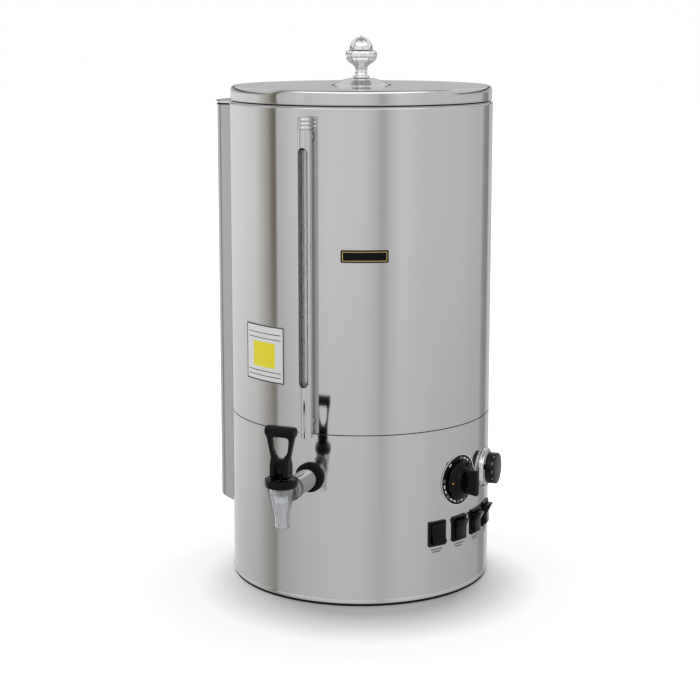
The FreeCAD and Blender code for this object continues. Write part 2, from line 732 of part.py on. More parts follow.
def riser_solids():
    """Pump, its suction hose, the riser pipe with its spray head, and the column that covers the pipe."""
    pump = body("circulation_pump")
    port_top = f"({PUMP_HEAD_TOP} + pump_port_length)"
    turned(pump, [("0", PLATE_TOP), ("pump_motor_radius", PLATE_TOP),
                  ("pump_motor_radius", PUMP_HEAD_BOTTOM), ("pump_head_radius", PUMP_HEAD_BOTTOM),
                  ("pump_head_radius", PUMP_HEAD_TOP), ("pump_port", PUMP_HEAD_TOP),
                  ("pump_port", port_top), ("0", port_top)])
    pad(pump, "XZ_Plane", [], "pump_head_radius + pump_port_length",
        circles=[("0", RISER_ENTRY, "pump_port")])
    place(pump, out="pump_place", azimuth="riser_azimuth")
    part(pump, "circulation_pump")

    hose = body("suction_hose")
    bore = "(pump_port - suction_hose_wall)"
    turned(hose, [(bore, port_top), ("pump_port", port_top), ("pump_port", "tank_floor"),
                  (bore, "tank_floor")])
    place(hose, out="pump_place", azimuth="riser_azimuth")
    part(hose, "suction_hose")

    riser = doc.addObject("Part::Feature", "riser_pipe")
    pipe_end = "(spray_hub_radius/2 + running_clearance)"
    pipe(riser, [(PUMP_PORT_END, RISER_ENTRY), ("riser_place", RISER_ENTRY), ("riser_place", "riser_top"),
                 (pipe_end, "riser_top")], "riser_bend", "riser_pipe_radius",
         "riser_pipe_radius - riser_pipe_wall")
    riser.Placement = Placement(Vector(), Rotation(Vector(0, 0, 1), number("riser_azimuth") - 90))
    part(riser, "riser_pipe")

    spray = body("spray_head")
    plate_low = "(riser_top - spray_hub_height/2 - spray_plate_wall)"
    hub_low = "(riser_top - spray_hub_height/2)"
    hub_top = "(riser_top + riser_pipe_radius + riser_pipe_wall*2)"
    turned(spray, [("0", plate_low), ("spray_plate_radius", plate_low), ("spray_plate_radius", hub_low),
                   ("spray_hub_radius", hub_low), ("spray_hub_radius", hub_top), ("0", hub_top)])
    pad(spray, "XZ_Plane", [], "spray_hub_radius", lift="spray_hub_radius/2", back=True, kind="Pocket",
        circles=[("0", "riser_top", "riser_pipe_radius + running_clearance")])
    place(spray, azimuth="riser_azimuth")
    part(spray, "spray_head")

    shell_inner = "column_width - 2*sheet_wall"
    cover = body("riser_cover")
    low = "(column_bottom - 2*column_slope)"
    pad(cover, "XY_Plane", [column_outline("0")], f"column_top - {low}", lift=low)
    pad(cover, "XY_Plane", [column_outline("sheet_wall", "body_radius*0.8")],
        "column_top + column_cap_height", back=True, kind="Pocket")
    pad(cover, "XY_Plane", [], "column_top + column_cap_height", back=True, kind="Pocket",
        circles=[("0", "0", "body_radius")])
    ramp = "column_slope/(column_reach - body_radius)"
    past = "(column_reach + column_width)"
    below = f"({low} - column_slope)"
    pad(cover, "XZ_Plane", [[("0", below), (past, below),
                             (past, f"column_bottom + ({past} - column_reach)*{ramp}"),
                             ("0", f"column_bottom - column_reach*{ramp}")]],
        "4*column_width", both=True, kind="Pocket")
    place(cover, azimuth="riser_azimuth - 90")
    part(cover, "riser_cover")

    sole = body("riser_sole_slab")
    pad(sole, "XZ_Plane", [[("body_radius/2", f"column_bottom - (column_reach - body_radius/2)*{ramp}"),
                            ("column_reach", "column_bottom"),
                            ("column_reach", "column_bottom + sheet_wall"),
                            ("body_radius/2",
                             f"column_bottom + sheet_wall - (column_reach - body_radius/2)*{ramp}")]],
        shell_inner, both=True)
    pad(sole, "XY_Plane", [], "column_top", back=True, kind="Pocket", circles=[("0", "0", "body_radius")])
    trim = body("riser_sole_outline")
    pad(trim, "XY_Plane", [column_outline("sheet_wall")], "column_bottom", lift="column_slope")
    sole_cut = join("Common", "riser_sole_trimmed", sole, trim)
    place(sole_cut, azimuth="riser_azimuth - 90")
    part(sole_cut, "riser_sole")

    cap = body("riser_cap")
    pad(cap, "XY_Plane", [column_outline("-column_cap_overhang")], "column_cap_height", lift="column_top")
    pad(cap, "XY_Plane", [], "column_top + 2*column_cap_height", back=True, kind="Pocket",
        circles=[("0", "0", "body_radius")])
    place(cap, azimuth="riser_azimuth - 90")
    part(cap, "riser_cap")

    plug = body("riser_plug")
    turned(plug, [("0", "-2*sheet_wall"), ("plug_radius/2", "-2*sheet_wall"), ("plug_radius/2", "0"),
                  ("plug_radius", "0"), ("plug_radius", "plug_proud/2"), ("plug_radius/2", "plug_proud"),
                  ("0", "plug_proud")])
    place(plug, out="body_radius", up="plug_height", azimuth="plug_azimuth", turn="90")
    part(plug, "riser_plug")


def column_outline(inset, start=BEHIND_WALL):
    """The column's plan, with local +X pointing outwards, drawn in by inset."""
    reach = f"(column_reach - ({inset}))"
    half = f"(column_width/2 - ({inset}))"
    corner = f"(column_corner - ({inset}))"
    return [(start, f"-{half}"), (f"{reach} - {corner}", f"-{half}"),
            (reach, f"-{half} + {corner}", quarter(corner)), (reach, f"{half} - {corner}"),
            (f"{reach} - {corner}", half, quarter(corner)), (start, half)]


def gauge_solids():
    """Sight gauge: guard tube, glass, end fittings, seals, cap and the nuts inside the tank."""
    guard = body("gauge_guard")
    turned(guard, [(GUARD_BORE, "guard_bottom"), ("guard_radius", "guard_bottom"),
                   ("guard_radius", "guard_top"), (GUARD_BORE, "guard_top")])
    half = "guard_slot_width/2"
    slot_low, slot_high = f"guard_slot_bottom + {half}", f"guard_slot_top - {half}"
    slot = [(half, slot_low, quarter(half)), (half, slot_high), ("0", "guard_slot_top", quarter(half)),
            (f"-{half}", slot_high, quarter(half)), (f"-{half}", slot_low),
            ("0", "guard_slot_bottom", quarter(half))]
    pad(guard, "XZ_Plane", [slot], "2*guard_radius", back=True, kind="Pocket")
    for height in ("stem_low", "stem_high"):
        pad(guard, "XZ_Plane", [], "2*guard_radius", kind="Pocket",
            circles=[("0", height, "stem_radius + hole_clearance")])
    place(guard, out="gauge_place")
    part(guard, "gauge_guard")

    plug = f"({GUARD_BORE} - running_clearance)"
    socket = "(glass_radius + running_clearance)"
    stem_length = f"gauge_place - {TANK_INNER} + stem_inside"
    glass_low = "(stem_low + fitting_ledge + seal_height)"
    glass_high = "(stem_high - fitting_ledge - seal_height)"
    crown = "(guard_top + gauge_cap_height*0.6)"
    for name, level, sign, low, high in (
            ("gauge_lower_fitting", "stem_low", 1, "stem_low - fitting_half", "stem_low + fitting_half"),
            ("gauge_upper_fitting", "stem_high", -1, "stem_high - fitting_half", "guard_top")):
        fitting = body(name)
        turned(fitting, [("0", low), (plug, low), (plug, high), ("0", high)])
        pad(fitting, "XZ_Plane", [], stem_length, back=True, circles=[("0", level, "stem_radius")])
        mouth = f"({level} + {sign}*fitting_half)"
        ledge = f"({level} + {sign}*fitting_ledge)"
        turned(fitting, [("0", ledge), (socket, ledge), (socket, mouth), ("0", mouth)], kind="Groove")
        turned(fitting, [("0", level), ("glass_radius - glass_wall", level),
                         ("glass_radius - glass_wall", ledge), ("0", ledge)], kind="Groove")
        pad(fitting, "XZ_Plane", [], f"2*({stem_length})", kind="Pocket", circles=[("0", level, "stem_bore")])
        if sign < 0:
            turned(fitting, [("0", high), ("glass_radius", high), ("glass_radius", crown), ("0", crown)])
        place(fitting, out="gauge_place")
        part(fitting, name)

    glass = body("gauge_glass")
    bore = "(glass_radius - glass_wall)"
    turned(glass, [(bore, glass_low), ("glass_radius", glass_low), ("glass_radius", glass_high),
                   (bore, glass_high)])
    place(glass, out="gauge_place")
    part(glass, "gauge_glass")

    seals = []
    for name, low in (("gauge_lower_seal", "(stem_low + fitting_ledge)"), ("gauge_upper_seal", glass_high)):
        seal = body(name)
        turned(seal, [(bore, low), ("glass_radius", low), ("glass_radius", f"{low} + seal_height"),
                      (bore, f"{low} + seal_height")])
        place(seal, out="gauge_place")
        seals.append(seal)
    part(gather("gauge_seals", seals), "gauge_seals")

    cap = body("gauge_cap")
    top = "(guard_top + gauge_cap_height)"
    outline = [("0", f"{crown} + running_clearance"),
               ("glass_radius + running_clearance", f"{crown} + running_clearance"),
               ("glass_radius + running_clearance", "guard_top")]
    for ring in range(3):
        low = f"(guard_top + {ring}*gauge_cap_height/3)"
        outline += [("guard_radius", low), ("guard_radius", f"{low} + gauge_cap_height/4")]
        if ring < 2:
            outline += [("guard_radius - gauge_cap_groove", f"{low} + gauge_cap_height*0.27"),
                        ("guard_radius - gauge_cap_groove", f"{low} + gauge_cap_height*0.31")]
    outline += [("guard_radius - gauge_cap_groove*2", top), ("0", top)]
    turned(cap, outline)
    place(cap, out="gauge_place")
    part(cap, "gauge_cap")

    nuts = []
    for name, level in (("gauge_lower_nut", "stem_low"), ("gauge_upper_nut", "stem_high")):
        blank = hex_nut(name, "gauge_nut_width", "stem_radius + running_clearance",
                        f"{TANK_INNER} - stem_inside*0.7", "tank_radius", level)
        nuts.append(join("Common", f"{name}_seated", blank,
                         upright_cylinder(f"{name}_wall", TANK_INNER, "tank_floor", "jacket_top")))
    part(gather("gauge_locknuts", nuts), "gauge_locknuts")


def hex_nut(name, width, bore, start, end, height):
    """A hexagon nut on a stem that points out of the urn at azimuth 0."""
    nut = body(name)
    corner = f"({width})/2/cos(30)"
    corners = [(f"{corner}*cos({60*step})", f"{corner}*sin({60*step})") for step in range(6)]
    pad(nut, "XY_Plane", [corners], f"({end}) - ({start})", circles=[("0", "0", bore)])
    place(nut, out=start, up=height, turn="90")
    return nut


def tap_solids():
    """The tap: shank, gasket, locknut, body, bonnet, stem with its seat and spring, handle and pin."""
    shank = body("tap_shank")
    turned(shank, [("shank_bore", "shank_inner_end"), ("shank_radius", "shank_inner_end"),
                   ("shank_radius", GASKET_FACE), ("shank_flange", GASKET_FACE),
                   ("shank_flange", f"{GASKET_FACE} + shank_flange_wall"),
                   ("shank_radius", f"{GASKET_FACE} + shank_flange_wall"), ("shank_radius", SHANK_END),
                   ("shank_bore", SHANK_END)])
    place(shank, up="tap_height", turn="90")
    part(shank, "tap_shank")

    ring = body("tap_gasket_blank")
    bore = "(shank_radius + running_clearance)"
    turned(ring, [(bore, BEHIND_WALL), ("gasket_radius", BEHIND_WALL),
                  ("gasket_radius", f"{GASKET_FACE} - gasket_height*0.2"),
                  ("gasket_radius - gasket_height*0.2", GASKET_FACE), (bore, GASKET_FACE)])
    place(ring, up="tap_height", turn="90")
    skin = upright_cylinder("tap_gasket_wall", "body_radius", "0", "2*tap_height")
    part(join("Cut", "tap_gasket", ring, skin), "tap_gasket")

    nut = hex_nut("tap_locknut_blank", "tap_nut_width", bore, "body_radius*0.93", "body_radius", "tap_height")
    wall = upright_cylinder("tap_locknut_wall", INNER_RADIUS, "0", "2*tap_height")
    part(join("Common", "tap_locknut", nut, wall), "tap_locknut")

    tap_body_solid()
    bonnet = body("tap_bonnet")
    floor_low = NECK_TOP
    floor_top = f"({BONNET_TOP} - bonnet_recess)"
    turned(bonnet, [("tap_neck_radius + running_clearance", BONNET_BOTTOM),
                    ("bonnet_radius - bonnet_taper", BONNET_BOTTOM),
                    ("bonnet_radius", f"{BONNET_BOTTOM} + bonnet_height*0.3"),
                    ("bonnet_radius", f"{BONNET_TOP} - bonnet_taper"),
                    ("bonnet_radius - bonnet_taper", BONNET_TOP), ("bonnet_recess_radius", BONNET_TOP),
                    ("bonnet_recess_radius", floor_top), ("tap_stem_radius + running_clearance", floor_top),
                    ("tap_stem_radius + running_clearance", floor_low),
                    ("tap_neck_radius + running_clearance", floor_low)])
    place(bonnet, out=TAP_AXIS_OUT)
    part(bonnet, "tap_bonnet")

    stem = body("tap_stem")
    rod_low = f"({VALVE_SEAT} + seat_height*0.4)"
    turned(stem, [("0", rod_low), ("tap_stem_radius", rod_low), ("tap_stem_radius", PIN_HEIGHT),
                  ("0", PIN_HEIGHT)])
    pad(stem, "YZ_Plane", [], "stem_head_width", both=True, circles=[("0", PIN_HEIGHT, "stem_head_radius")])
    pad(stem, "YZ_Plane", [], "2*stem_head_width", both=True, kind="Pocket",
        circles=[("0", PIN_HEIGHT, "tap_pin_radius + running_clearance")])
    place(stem, out=TAP_AXIS_OUT)
    part(stem, "tap_stem")

    seat = body("tap_seat")
    turned(seat, [("0", VALVE_SEAT), ("seat_radius*0.9", VALVE_SEAT),
                  ("seat_radius", f"{VALVE_SEAT} + seat_height*0.3"), ("seat_radius", SEAT_TOP),
                  ("tap_stem_radius", SEAT_TOP), ("tap_stem_radius", rod_low), ("0", rod_low)])
    place(seat, out=TAP_AXIS_OUT)
    part(seat, "tap_seat")

    spring = body("tap_spring")
    wire = start_sketch(spring, "XZ_Plane")
    add_circle(wire, "spring_radius", f"{SEAT_TOP} + spring_wire", "spring_wire")
    coil = spring.newObject("PartDesign::AdditiveHelix", "tap_spring_coil")
    coil.Profile = wire
    coil.ReferenceAxis = (wire, ["V_Axis"])
    coil.Mode = "height-turns-angle"
    bind(coil, Height=f"{SPRING_LENGTH} - 2*spring_wire", Turns="spring_turns")
    place(spring, out=TAP_AXIS_OUT)
    part(spring, "tap_spring")
    tap_handle_solid()

    pin = body("tap_pin")
    pad(pin, "YZ_Plane", [], "handle_foot_width", both=True, circles=[("0", "0", "tap_pin_radius")])
    place(pin, out=TAP_AXIS_OUT, up=PIN_HEIGHT)
    part(pin, "tap_pin")


def tap_body_solid():
    """Clear tap body: a tapered spout with a side inlet that ends in a flared collar."""
    tap = body("tap_body")
    spout_low = "-spout_drop"
    cone_low = "(spout_straight - spout_drop)"
    turned(tap, [("0", spout_low), ("spout_radius", spout_low), ("spout_radius", cone_low),
                 ("tap_cone_radius", "tap_cone_top"), ("tap_neck_radius", "tap_cone_top"),
                 ("tap_neck_radius", "tap_neck_top"), ("0", "tap_neck_top")])
    pad(tap, "XZ_Plane", [], "collar_start + collar_length/2", back=True,
        circles=[("0", "0", "inlet_radius")])
    pad(tap, "XZ_Plane", [], "collar_length", lift="-collar_start", back=True,
        circles=[("0", "0", "collar_radius")])
    seat = "(-valve_seat_drop)"
    turned(tap, [("0", seat), ("seat_radius + cavity_clearance", seat),
                 ("tap_chamber", "tap_cone_top - tap_neck_top/2"), ("tap_chamber", "tap_neck_top"),
                 ("0", "tap_neck_top")], kind="Groove")
    turned(tap, [("0", spout_low), ("spout_bore", spout_low), ("spout_bore", seat), ("0", seat)],
           kind="Groove")
    pad(tap, "XZ_Plane", [], "collar_start + collar_length", kind="Pocket",
        circles=[("0", "0", "inlet_bore")])
    pad(tap, "XZ_Plane", [], "collar_length", lift="socket_depth - collar_start - collar_length",
        kind="Pocket", circles=[("0", "0", "shank_radius + running_clearance")])
    place(tap, out=TAP_AXIS_OUT, up="tap_height")
    part(tap, "tap_body")


def tap_handle_solid():
    """Black handle: a loop on a forked foot, with a thick bar across its top. Its origin is the pin."""
    handle = body("tap_handle")
    low = "(handle_clearance - pin_rise)"
    top = f"({low} + handle_height)"
    foot_top = f"({low} + handle_foot_height)"
    bar_low = f"({top} - handle_bar_height)"
    round_end = quarter("handle_corner")
    side = [("handle_foot_width/2", low), ("handle_waist_width/2", foot_top), ("handle_top_width/2", bar_low),
            ("handle_top_width/2", f"{top} - handle_corner"),
            ("handle_top_width/2 - handle_corner", top, round_end)]
    other = [(f"-({item[0]})", item[1]) for item in reversed(side)]
    other[1] = (*other[1], round_end)
    pad(handle, "XZ_Plane", [side + other], "handle_frame_depth", both=True)
    pad(handle, "XZ_Plane", [[("handle_foot_width/2", low), ("handle_waist_width/2", foot_top),
                              ("-handle_waist_width/2", foot_top), ("-handle_foot_width/2", low)]],
        "handle_foot_depth", both=True)
    pad(handle, "YZ_Plane",
        [rounded_points("0", f"{top} - handle_bar_height/2", "handle_bar_depth", "handle_bar_height",
                        "handle_corner")],
        f"handle_top_width - 2*{round_end}", both=True)
    loop_low, loop_high = f"({low} + loop_bottom)", f"({low} + loop_top)"
    half = "loop_top_width/2"
    round_low = quarter("loop_radius")
    pad(handle, "XZ_Plane", [[("0", loop_low, round_low),
                              ("loop_radius", f"{loop_low} + loop_radius", round_low),
                              (half, f"{loop_high} - loop_radius"),
                              (f"{half} - loop_radius/2", loop_high), (f"loop_radius/2 - {half}", loop_high),
                              (f"-{half}", f"{loop_high} - loop_radius"),
                              ("-loop_radius", f"{loop_low} + loop_radius")]],
        "2*handle_bar_depth", both=True, kind="Pocket")
    slot_top = "(stem_head_radius + cavity_clearance)"
    slot = "stem_head_width + 2*hole_clearance"
    pad(handle, "XZ_Plane", [box_points("0", f"({low} + {slot_top})/2", slot, f"{slot_top} - {low}")],
        "2*handle_foot_depth", both=True, kind="Pocket")
    pad(handle, "YZ_Plane", [], "2*handle_foot_width", both=True, kind="Pocket",
        circles=[("0", "0", "tap_pin_radius")])
    place(handle, out=TAP_AXIS_OUT, up=PIN_HEIGHT)
    part(handle, "tap_handle")


def lid_solids():
    """Lid: outer cover with a shallow dome, liner that plugs the tank's mouth, gasket, knob and nut."""
    cover = body("lid_cover")
    mouth = "(lid_plug_radius + sheet_wall)"
    hole = "(knob_stud + running_clearance)"
    inner = "(lid_radius - sheet_wall)"
    under = "(lid_top - sheet_wall)"
    swell = "-dome_rise*0.145"
    edge = f"-{quarter('lid_round')}"
    turned(cover, [(hole, DOME_TOP), ("dome_seat", DOME_TOP), ("dome_radius", "lid_top", swell),
                   ("lid_radius - lid_round", "lid_top"), ("lid_radius", "lid_top - lid_round", edge),
                   ("lid_radius", LID_BOTTOM), (hole, LID_BOTTOM)])
    turned(cover, [(hole, f"{DOME_TOP} - sheet_wall"), ("dome_seat", f"{DOME_TOP} - sheet_wall"),
                   ("dome_radius", under, swell), ("lid_radius - lid_round", under),
                   (inner, "lid_top - lid_round"), (inner, f"{LID_BOTTOM} + sheet_wall"),
                   (hole, f"{LID_BOTTOM} + sheet_wall")], kind="Groove")
    pad(cover, "XY_Plane", [], f"{LID_BOTTOM} + 2*sheet_wall", back=True, kind="Pocket",
        circles=[("0", "0", mouth)])
    part(cover, "lid_cover")

    liner = body("lid_liner")
    seat = f"({LID_BOTTOM} + sheet_wall)"
    bottom = f"({LID_BOTTOM} - lid_plug_depth)"
    wall = "(lid_plug_radius - sheet_wall)"
    flange = f"({inner} - sheet_wall)"
    turned(liner, [("0", bottom), ("lid_plug_radius", bottom), ("lid_plug_radius", seat), (flange, seat),
                   (flange, f"{seat} + sheet_wall"), (wall, f"{seat} + sheet_wall"),
                   (wall, f"{bottom} + sheet_wall"), ("0", f"{bottom} + sheet_wall")])
    part(liner, "lid_liner")

    gasket = body("lid_gasket")
    outer = "(tank_flange - sheet_wall)"
    turned(gasket, [(f"{outer} - lid_gasket_width", f"{LID_BOTTOM} - lid_gasket_height"),
                    (outer, f"{LID_BOTTOM} - lid_gasket_height"), (outer, LID_BOTTOM),
                    (f"{outer} - lid_gasket_width", LID_BOTTOM)])
    part(gasket, "lid_gasket")

    knob = body("lid_knob")
    turned(knob, [("0", "-knob_stud_length"), ("knob_stud", "-knob_stud_length"), ("knob_stud", "0"),
                  ("knob_foot*0.85", "0"), ("knob_foot*0.85", "knob_foot_height", "knob_foot*0.15"),
                  ("knob_neck", "knob_foot_height*1.8"), ("knob_neck*1.1", "knob_neck_top", "-knob_neck*0.1"),
                  ("knob_cup", "knob_cup_middle", "knob_cup*0.18"),
                  ("knob_cup*0.93", "knob_cup_top", "knob_cup*0.02"), ("knob_acorn", "knob_cup_top"),
                  ("knob_acorn*0.2", "knob_height*0.965", "knob_acorn*0.2"), ("0", "knob_height")])
    place(knob, up=DOME_TOP)
    part(knob, "lid_knob")

    nut = body("lid_nut")
    corners = [(f"knob_stud*2*cos({60*step})", f"knob_stud*2*sin({60*step})") for step in range(6)]
    pad(nut, "XY_Plane", [corners], "nut_height", lift="-nut_height",
        circles=[("0", "0", "knob_stud + running_clearance")])
    place(nut, up=f"{DOME_TOP} - sheet_wall")
    part(nut, "lid_nut")


def control_solids():
    """Thermostat and timer: the bodies behind the wall and the knobs in front of it."""
    patch("thermostat_dial", "dial_wall", "thermostat_azimuth", "control_height", round_radius="dial_radius",
          hole="control_collar")
    for name, azimuth, width, depth in (
            ("thermostat_body", "thermostat_azimuth", "thermostat_width", "thermostat_depth"),
            ("timer_body", "timer_azimuth", "timer_width", "timer_depth")):
        case = body(f"{name}_case")
        front = f"({INNER_RADIUS} - thermostat_setback)"
        pad(case, "XY_Plane", [box_points("0", "0", width, width)], depth, lift=f"{front} - {depth}")
        pad(case, "XY_Plane", [], "2*thermostat_setback", lift=front, circles=[("0", "0", "control_collar")])
        pad(case, "XY_Plane", [], "2*control_spindle_length", lift="body_radius - control_spindle_length",
            back=True, kind="Pocket", circles=[("0", "0", "control_spindle + running_clearance")])
        place(case, up="control_height", azimuth=azimuth, turn="90")
        wall = upright_cylinder(f"{name}_wall", INNER_RADIUS, "0", "2*control_height")
        part(join("Common", name, case, wall), name)

    spindle_low = "(sheet_wall - control_spindle_length)"
    knob = body("thermostat_knob")
    turned(knob, [("0", spindle_low), ("control_spindle", spindle_low), ("control_spindle", "knob_lift"),
                  ("skirt_radius", "knob_lift"), ("skirt_radius", "knob_lift + skirt_height/2"),
                  ("skirt_radius*0.9", "knob_lift + skirt_height"),
                  ("grip_boss_radius", "knob_lift + skirt_height"),
                  ("grip_boss_radius*0.9", "knob_lift + grip_boss_height"),
                  ("0", "knob_lift + grip_boss_height")])
    pad(knob, "XY_Plane", [rounded_points("0", "0", "grip_width", "grip_length", "grip_width*0.45")],
        "grip_height", lift="knob_lift")
    place(knob, out="body_radius", up="control_height", azimuth="thermostat_azimuth", turn="90")
    part(knob, "thermostat_knob")

    bezel = body("timer_bezel_blank")
    bore = "(control_spindle + cavity_clearance)"
    turned(bezel, [(bore, BEHIND_WALL), ("bezel_radius", BEHIND_WALL),
                   ("bezel_radius", "body_radius + bezel_height*0.6"),
                   ("bezel_radius*0.93", "body_radius + bezel_height"), (bore, "body_radius + bezel_height")])
    place(bezel, up="control_height", azimuth="timer_azimuth", turn="90")
    skin = upright_cylinder("timer_bezel_wall", "body_radius", "0", "2*control_height")
    part(join("Cut", "timer_bezel", bezel, skin), "timer_bezel")

    timer = body("timer_knob")
    base = "(bezel_height + cavity_clearance)"
    end = f"({base} + timer_knob_height)"
    turned(timer, [("0", spindle_low), ("control_spindle", spindle_low), ("control_spindle", base),
                   ("timer_knob_radius", base), ("timer_knob_radius", f"{end} - knob_lift"),
                   ("timer_knob_radius - knob_lift", end), ("0", end)])
    place(timer, out="body_radius", up="control_height", azimuth="timer_azimuth", turn="90")
    part(timer, "timer_knob")

    bulb = doc.addObject("Part::Feature", "thermostat_bulb")
    level = "(tank_floor - bulb_radius)"
    bulb_end = "(bulb_start + bulb_length)"
    back_face = f"({INNER_RADIUS} - thermostat_setback - thermostat_depth)"
    tube = pipe(bulb, [(bulb_end, level), ("capillary_place", level), ("capillary_place", "capillary_entry"),
                       (back_face, "capillary_entry")], "capillary_bend", "capillary_radius")
    rod = Part.makeCylinder(number("bulb_radius"), number("bulb_length"),
                            Vector(number("bulb_start"), 0, number(level)), Vector(1, 0, 0))
    bulb.Shape = rod.fuse(tube)
    bulb.Placement = Placement(Vector(), Rotation(Vector(0, 0, 1), number("thermostat_azimuth") - 90))
    part(bulb, "thermostat_bulb")


def patch(name, wall, azimuth, height, outline=None, round_radius=None, hole=None):
    """A thin plate glued to the body's curve, trimmed to an outline seen from outside."""
    cutter = body(f"{name}_outline")
    loops = [outline] if outline else []
    circles = [("0", "0", round_radius)] if round_radius else []
    if hole:
        circles.append(("0", "0", hole))
    pad(cutter, "XY_Plane", loops, "body_radius", lift="body_radius/2", circles=circles)
    place(cutter, up=height, azimuth=azimuth, turn="90")
    back = "body_radius + glue_line"
    outer = upright_cylinder(f"{name}_outer", f"{back} + {wall}", "0", "jacket_top")
    inner = upright_cylinder(f"{name}_inner", back, "0", "jacket_top")
    trimmed = join("Common", f"{name}_trimmed", outer, cutter)
    return part(join("Cut", name, trimmed, inner), name)


def switch_azimuth(index):
    return f"(switch_azimuth + {index}*switch_pitch)"


def switch_solids():
    """Four rocker switches in a row. The first is pressed at its top, the others at their bottom."""
    for index in range(4):
        name = f"switch_frame_{index + 1}"
        blank = body(f"{name}_blank")
        front = "(body_radius + switch_frame_proud)"
        pad(blank, "XY_Plane",
            [rounded_points("0", "0", "switch_width", "switch_tall", "switch_frame_proud/2")],
            "2*switch_frame_proud", lift=f"{front} - 2*switch_frame_proud")
        skin = upright_cylinder(f"{name}_skin", "body_radius", "0", "2*switch_height")
        place(blank, up="switch_height", azimuth=switch_azimuth(index), turn="90")
        flange = join("Cut", f"{name}_flange", blank, skin)
        case = body(f"{name}_case")
        pad(case, "XY_Plane", [box_points("0", "0", "switch_body_width", "switch_body_tall")],
            "switch_depth + switch_frame_proud/2", lift="body_radius - switch_depth")
        place(case, up="switch_height", azimuth=switch_azimuth(index), turn="90")
        whole = join("Fuse", f"{name}_whole", flange, case)
        hollow = body(f"{name}_hollow")
        pad(hollow, "XY_Plane", [box_points("0", "0", "rocker_width + cavity_clearance",
                                            "rocker_tall + 2.5*cavity_clearance")],
            "2*switch_cavity_depth", lift=f"{front} - switch_cavity_depth")
        pad(hollow, "YZ_Plane", [], "switch_body_width - sheet_wall", both=True,
            circles=[("0", "body_radius", "rocker_pin + running_clearance")])
        place(hollow, up="switch_height", azimuth=switch_azimuth(index), turn="90")
        part(join("Cut", name, whole, hollow), name)

        rocker = body(f"rocker_{index + 1}")
        half = "rocker_tall/2"
        belly = "rocker_pin - switch_cavity_depth*0.45"
        pad(rocker, "YZ_Plane", [[("0", "rocker_valley"), (half, "rocker_end_rise"),
                                  (f"{half}*0.95", "-rocker_pin"),
                                  (f"-{half}*0.95", "-rocker_pin", belly),
                                  (f"-{half}", "rocker_end_rise")]], "rocker_width", both=True)
        pad(rocker, "YZ_Plane", [], "switch_body_width - 1.5*sheet_wall", both=True,
            circles=[("0", "0", "rocker_pin")])
        tilt = "-rocker_tilt" if index == 0 else "rocker_tilt"
        place(rocker, out="body_radius", up="switch_height", azimuth=switch_azimuth(index),
              turn=f"90 + {tilt}")
        part(rocker, f"rocker_{index + 1}")


def trim_solids():
    """Name plate, write-on label and the cable gland at the back."""
    patch("name_plate", "plate_wall", "plate_azimuth", "plate_height",
          outline=rounded_points("0", "0", "plate_width", "plate_tall", "plate_corner"))
    patch("label", "label_wall", "label_azimuth", "label_height",
          outline=box_points("0", "0", "label_width", "label_tall"))

    gland = body("cable_gland_blank")
    start = f"({INNER_RADIUS} - gland_length/2)"
    turned(gland, [("gland_bore", start), ("gland_radius", start), ("gland_radius", "body_radius"),
                   ("gland_flange", "body_radius - gland_length*0.1"),
                   ("gland_flange", "body_radius + gland_length*0.35"),
                   ("gland_bore*1.6", "body_radius + gland_length"),
                   ("gland_bore", "body_radius + gland_length")])
    place(gland, up="gland_height", azimuth="gland_azimuth", turn="90")
    ring = primitive("Cut", "gland_seat_ring")
    ring.Base = upright_cylinder("gland_seat_outer", "body_radius", "0", "2*gland_height")
    ring.Tool = upright_cylinder("gland_seat_inner", "body_radius - gland_length*0.2", "0", "2*gland_height")
    through = body("gland_hole")
    pad(through, "XY_Plane", [], "2*body_radius", circles=[("0", "0", "gland_radius")])
    place(through, up="gland_height", azimuth="gland_azimuth", turn="90")
    seat = join("Cut", "gland_seat", ring, through)
    part(join("Cut", "cable_gland", gland, seat), "cable_gland")


def check_document():
    """Stop if any object failed or any sub-part is not a set of sound solids."""
    for item in doc.Objects:
        bad = {"Invalid", "Error"} & set(item.State)
        if bad:
            raise RuntimeError(f"{item.Label}: {item.State}")
    for item in parts:
        shape = item.Shape
        if shape.isNull() or not shape.isValid() or not shape.Solids:
            raise RuntimeError(f"{item.Label}: not a sound solid")


def export_parts():
    os.makedirs("parts", exist_ok=True)
    for item in parts:
        item.Shape.exportStep(os.path.join("parts", f"{item.Label}.step"))


fill_sheet()
cover_solids()
shell_solids()
tank_solids()
riser_solids()
gauge_solids()
tap_solids()
lid_solids()
control_solids()
switch_solids()
trim_solids()
doc.recompute()
check_document()
export_parts()
for item in parts:
    box = item.Shape.BoundBox
    print(f"{item.Label:22s} solids {len(item.Shape.Solids)} volume {item.Shape.Volume:12.1f} "
          f"z {box.ZMin:7.1f} to {box.ZMax:7.1f}")
print(f"{len(parts)} nodes")
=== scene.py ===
"""Looks of the coffee urn: finishes for its CAD pieces, and the finer pieces that stand for some of them.

Metres, +Z up. An azimuth is counted from -Y, where the tap is, towards +X.
"""
import json
import math

import bmesh
import bpy
from mathutils import Euler, Matrix, Vector


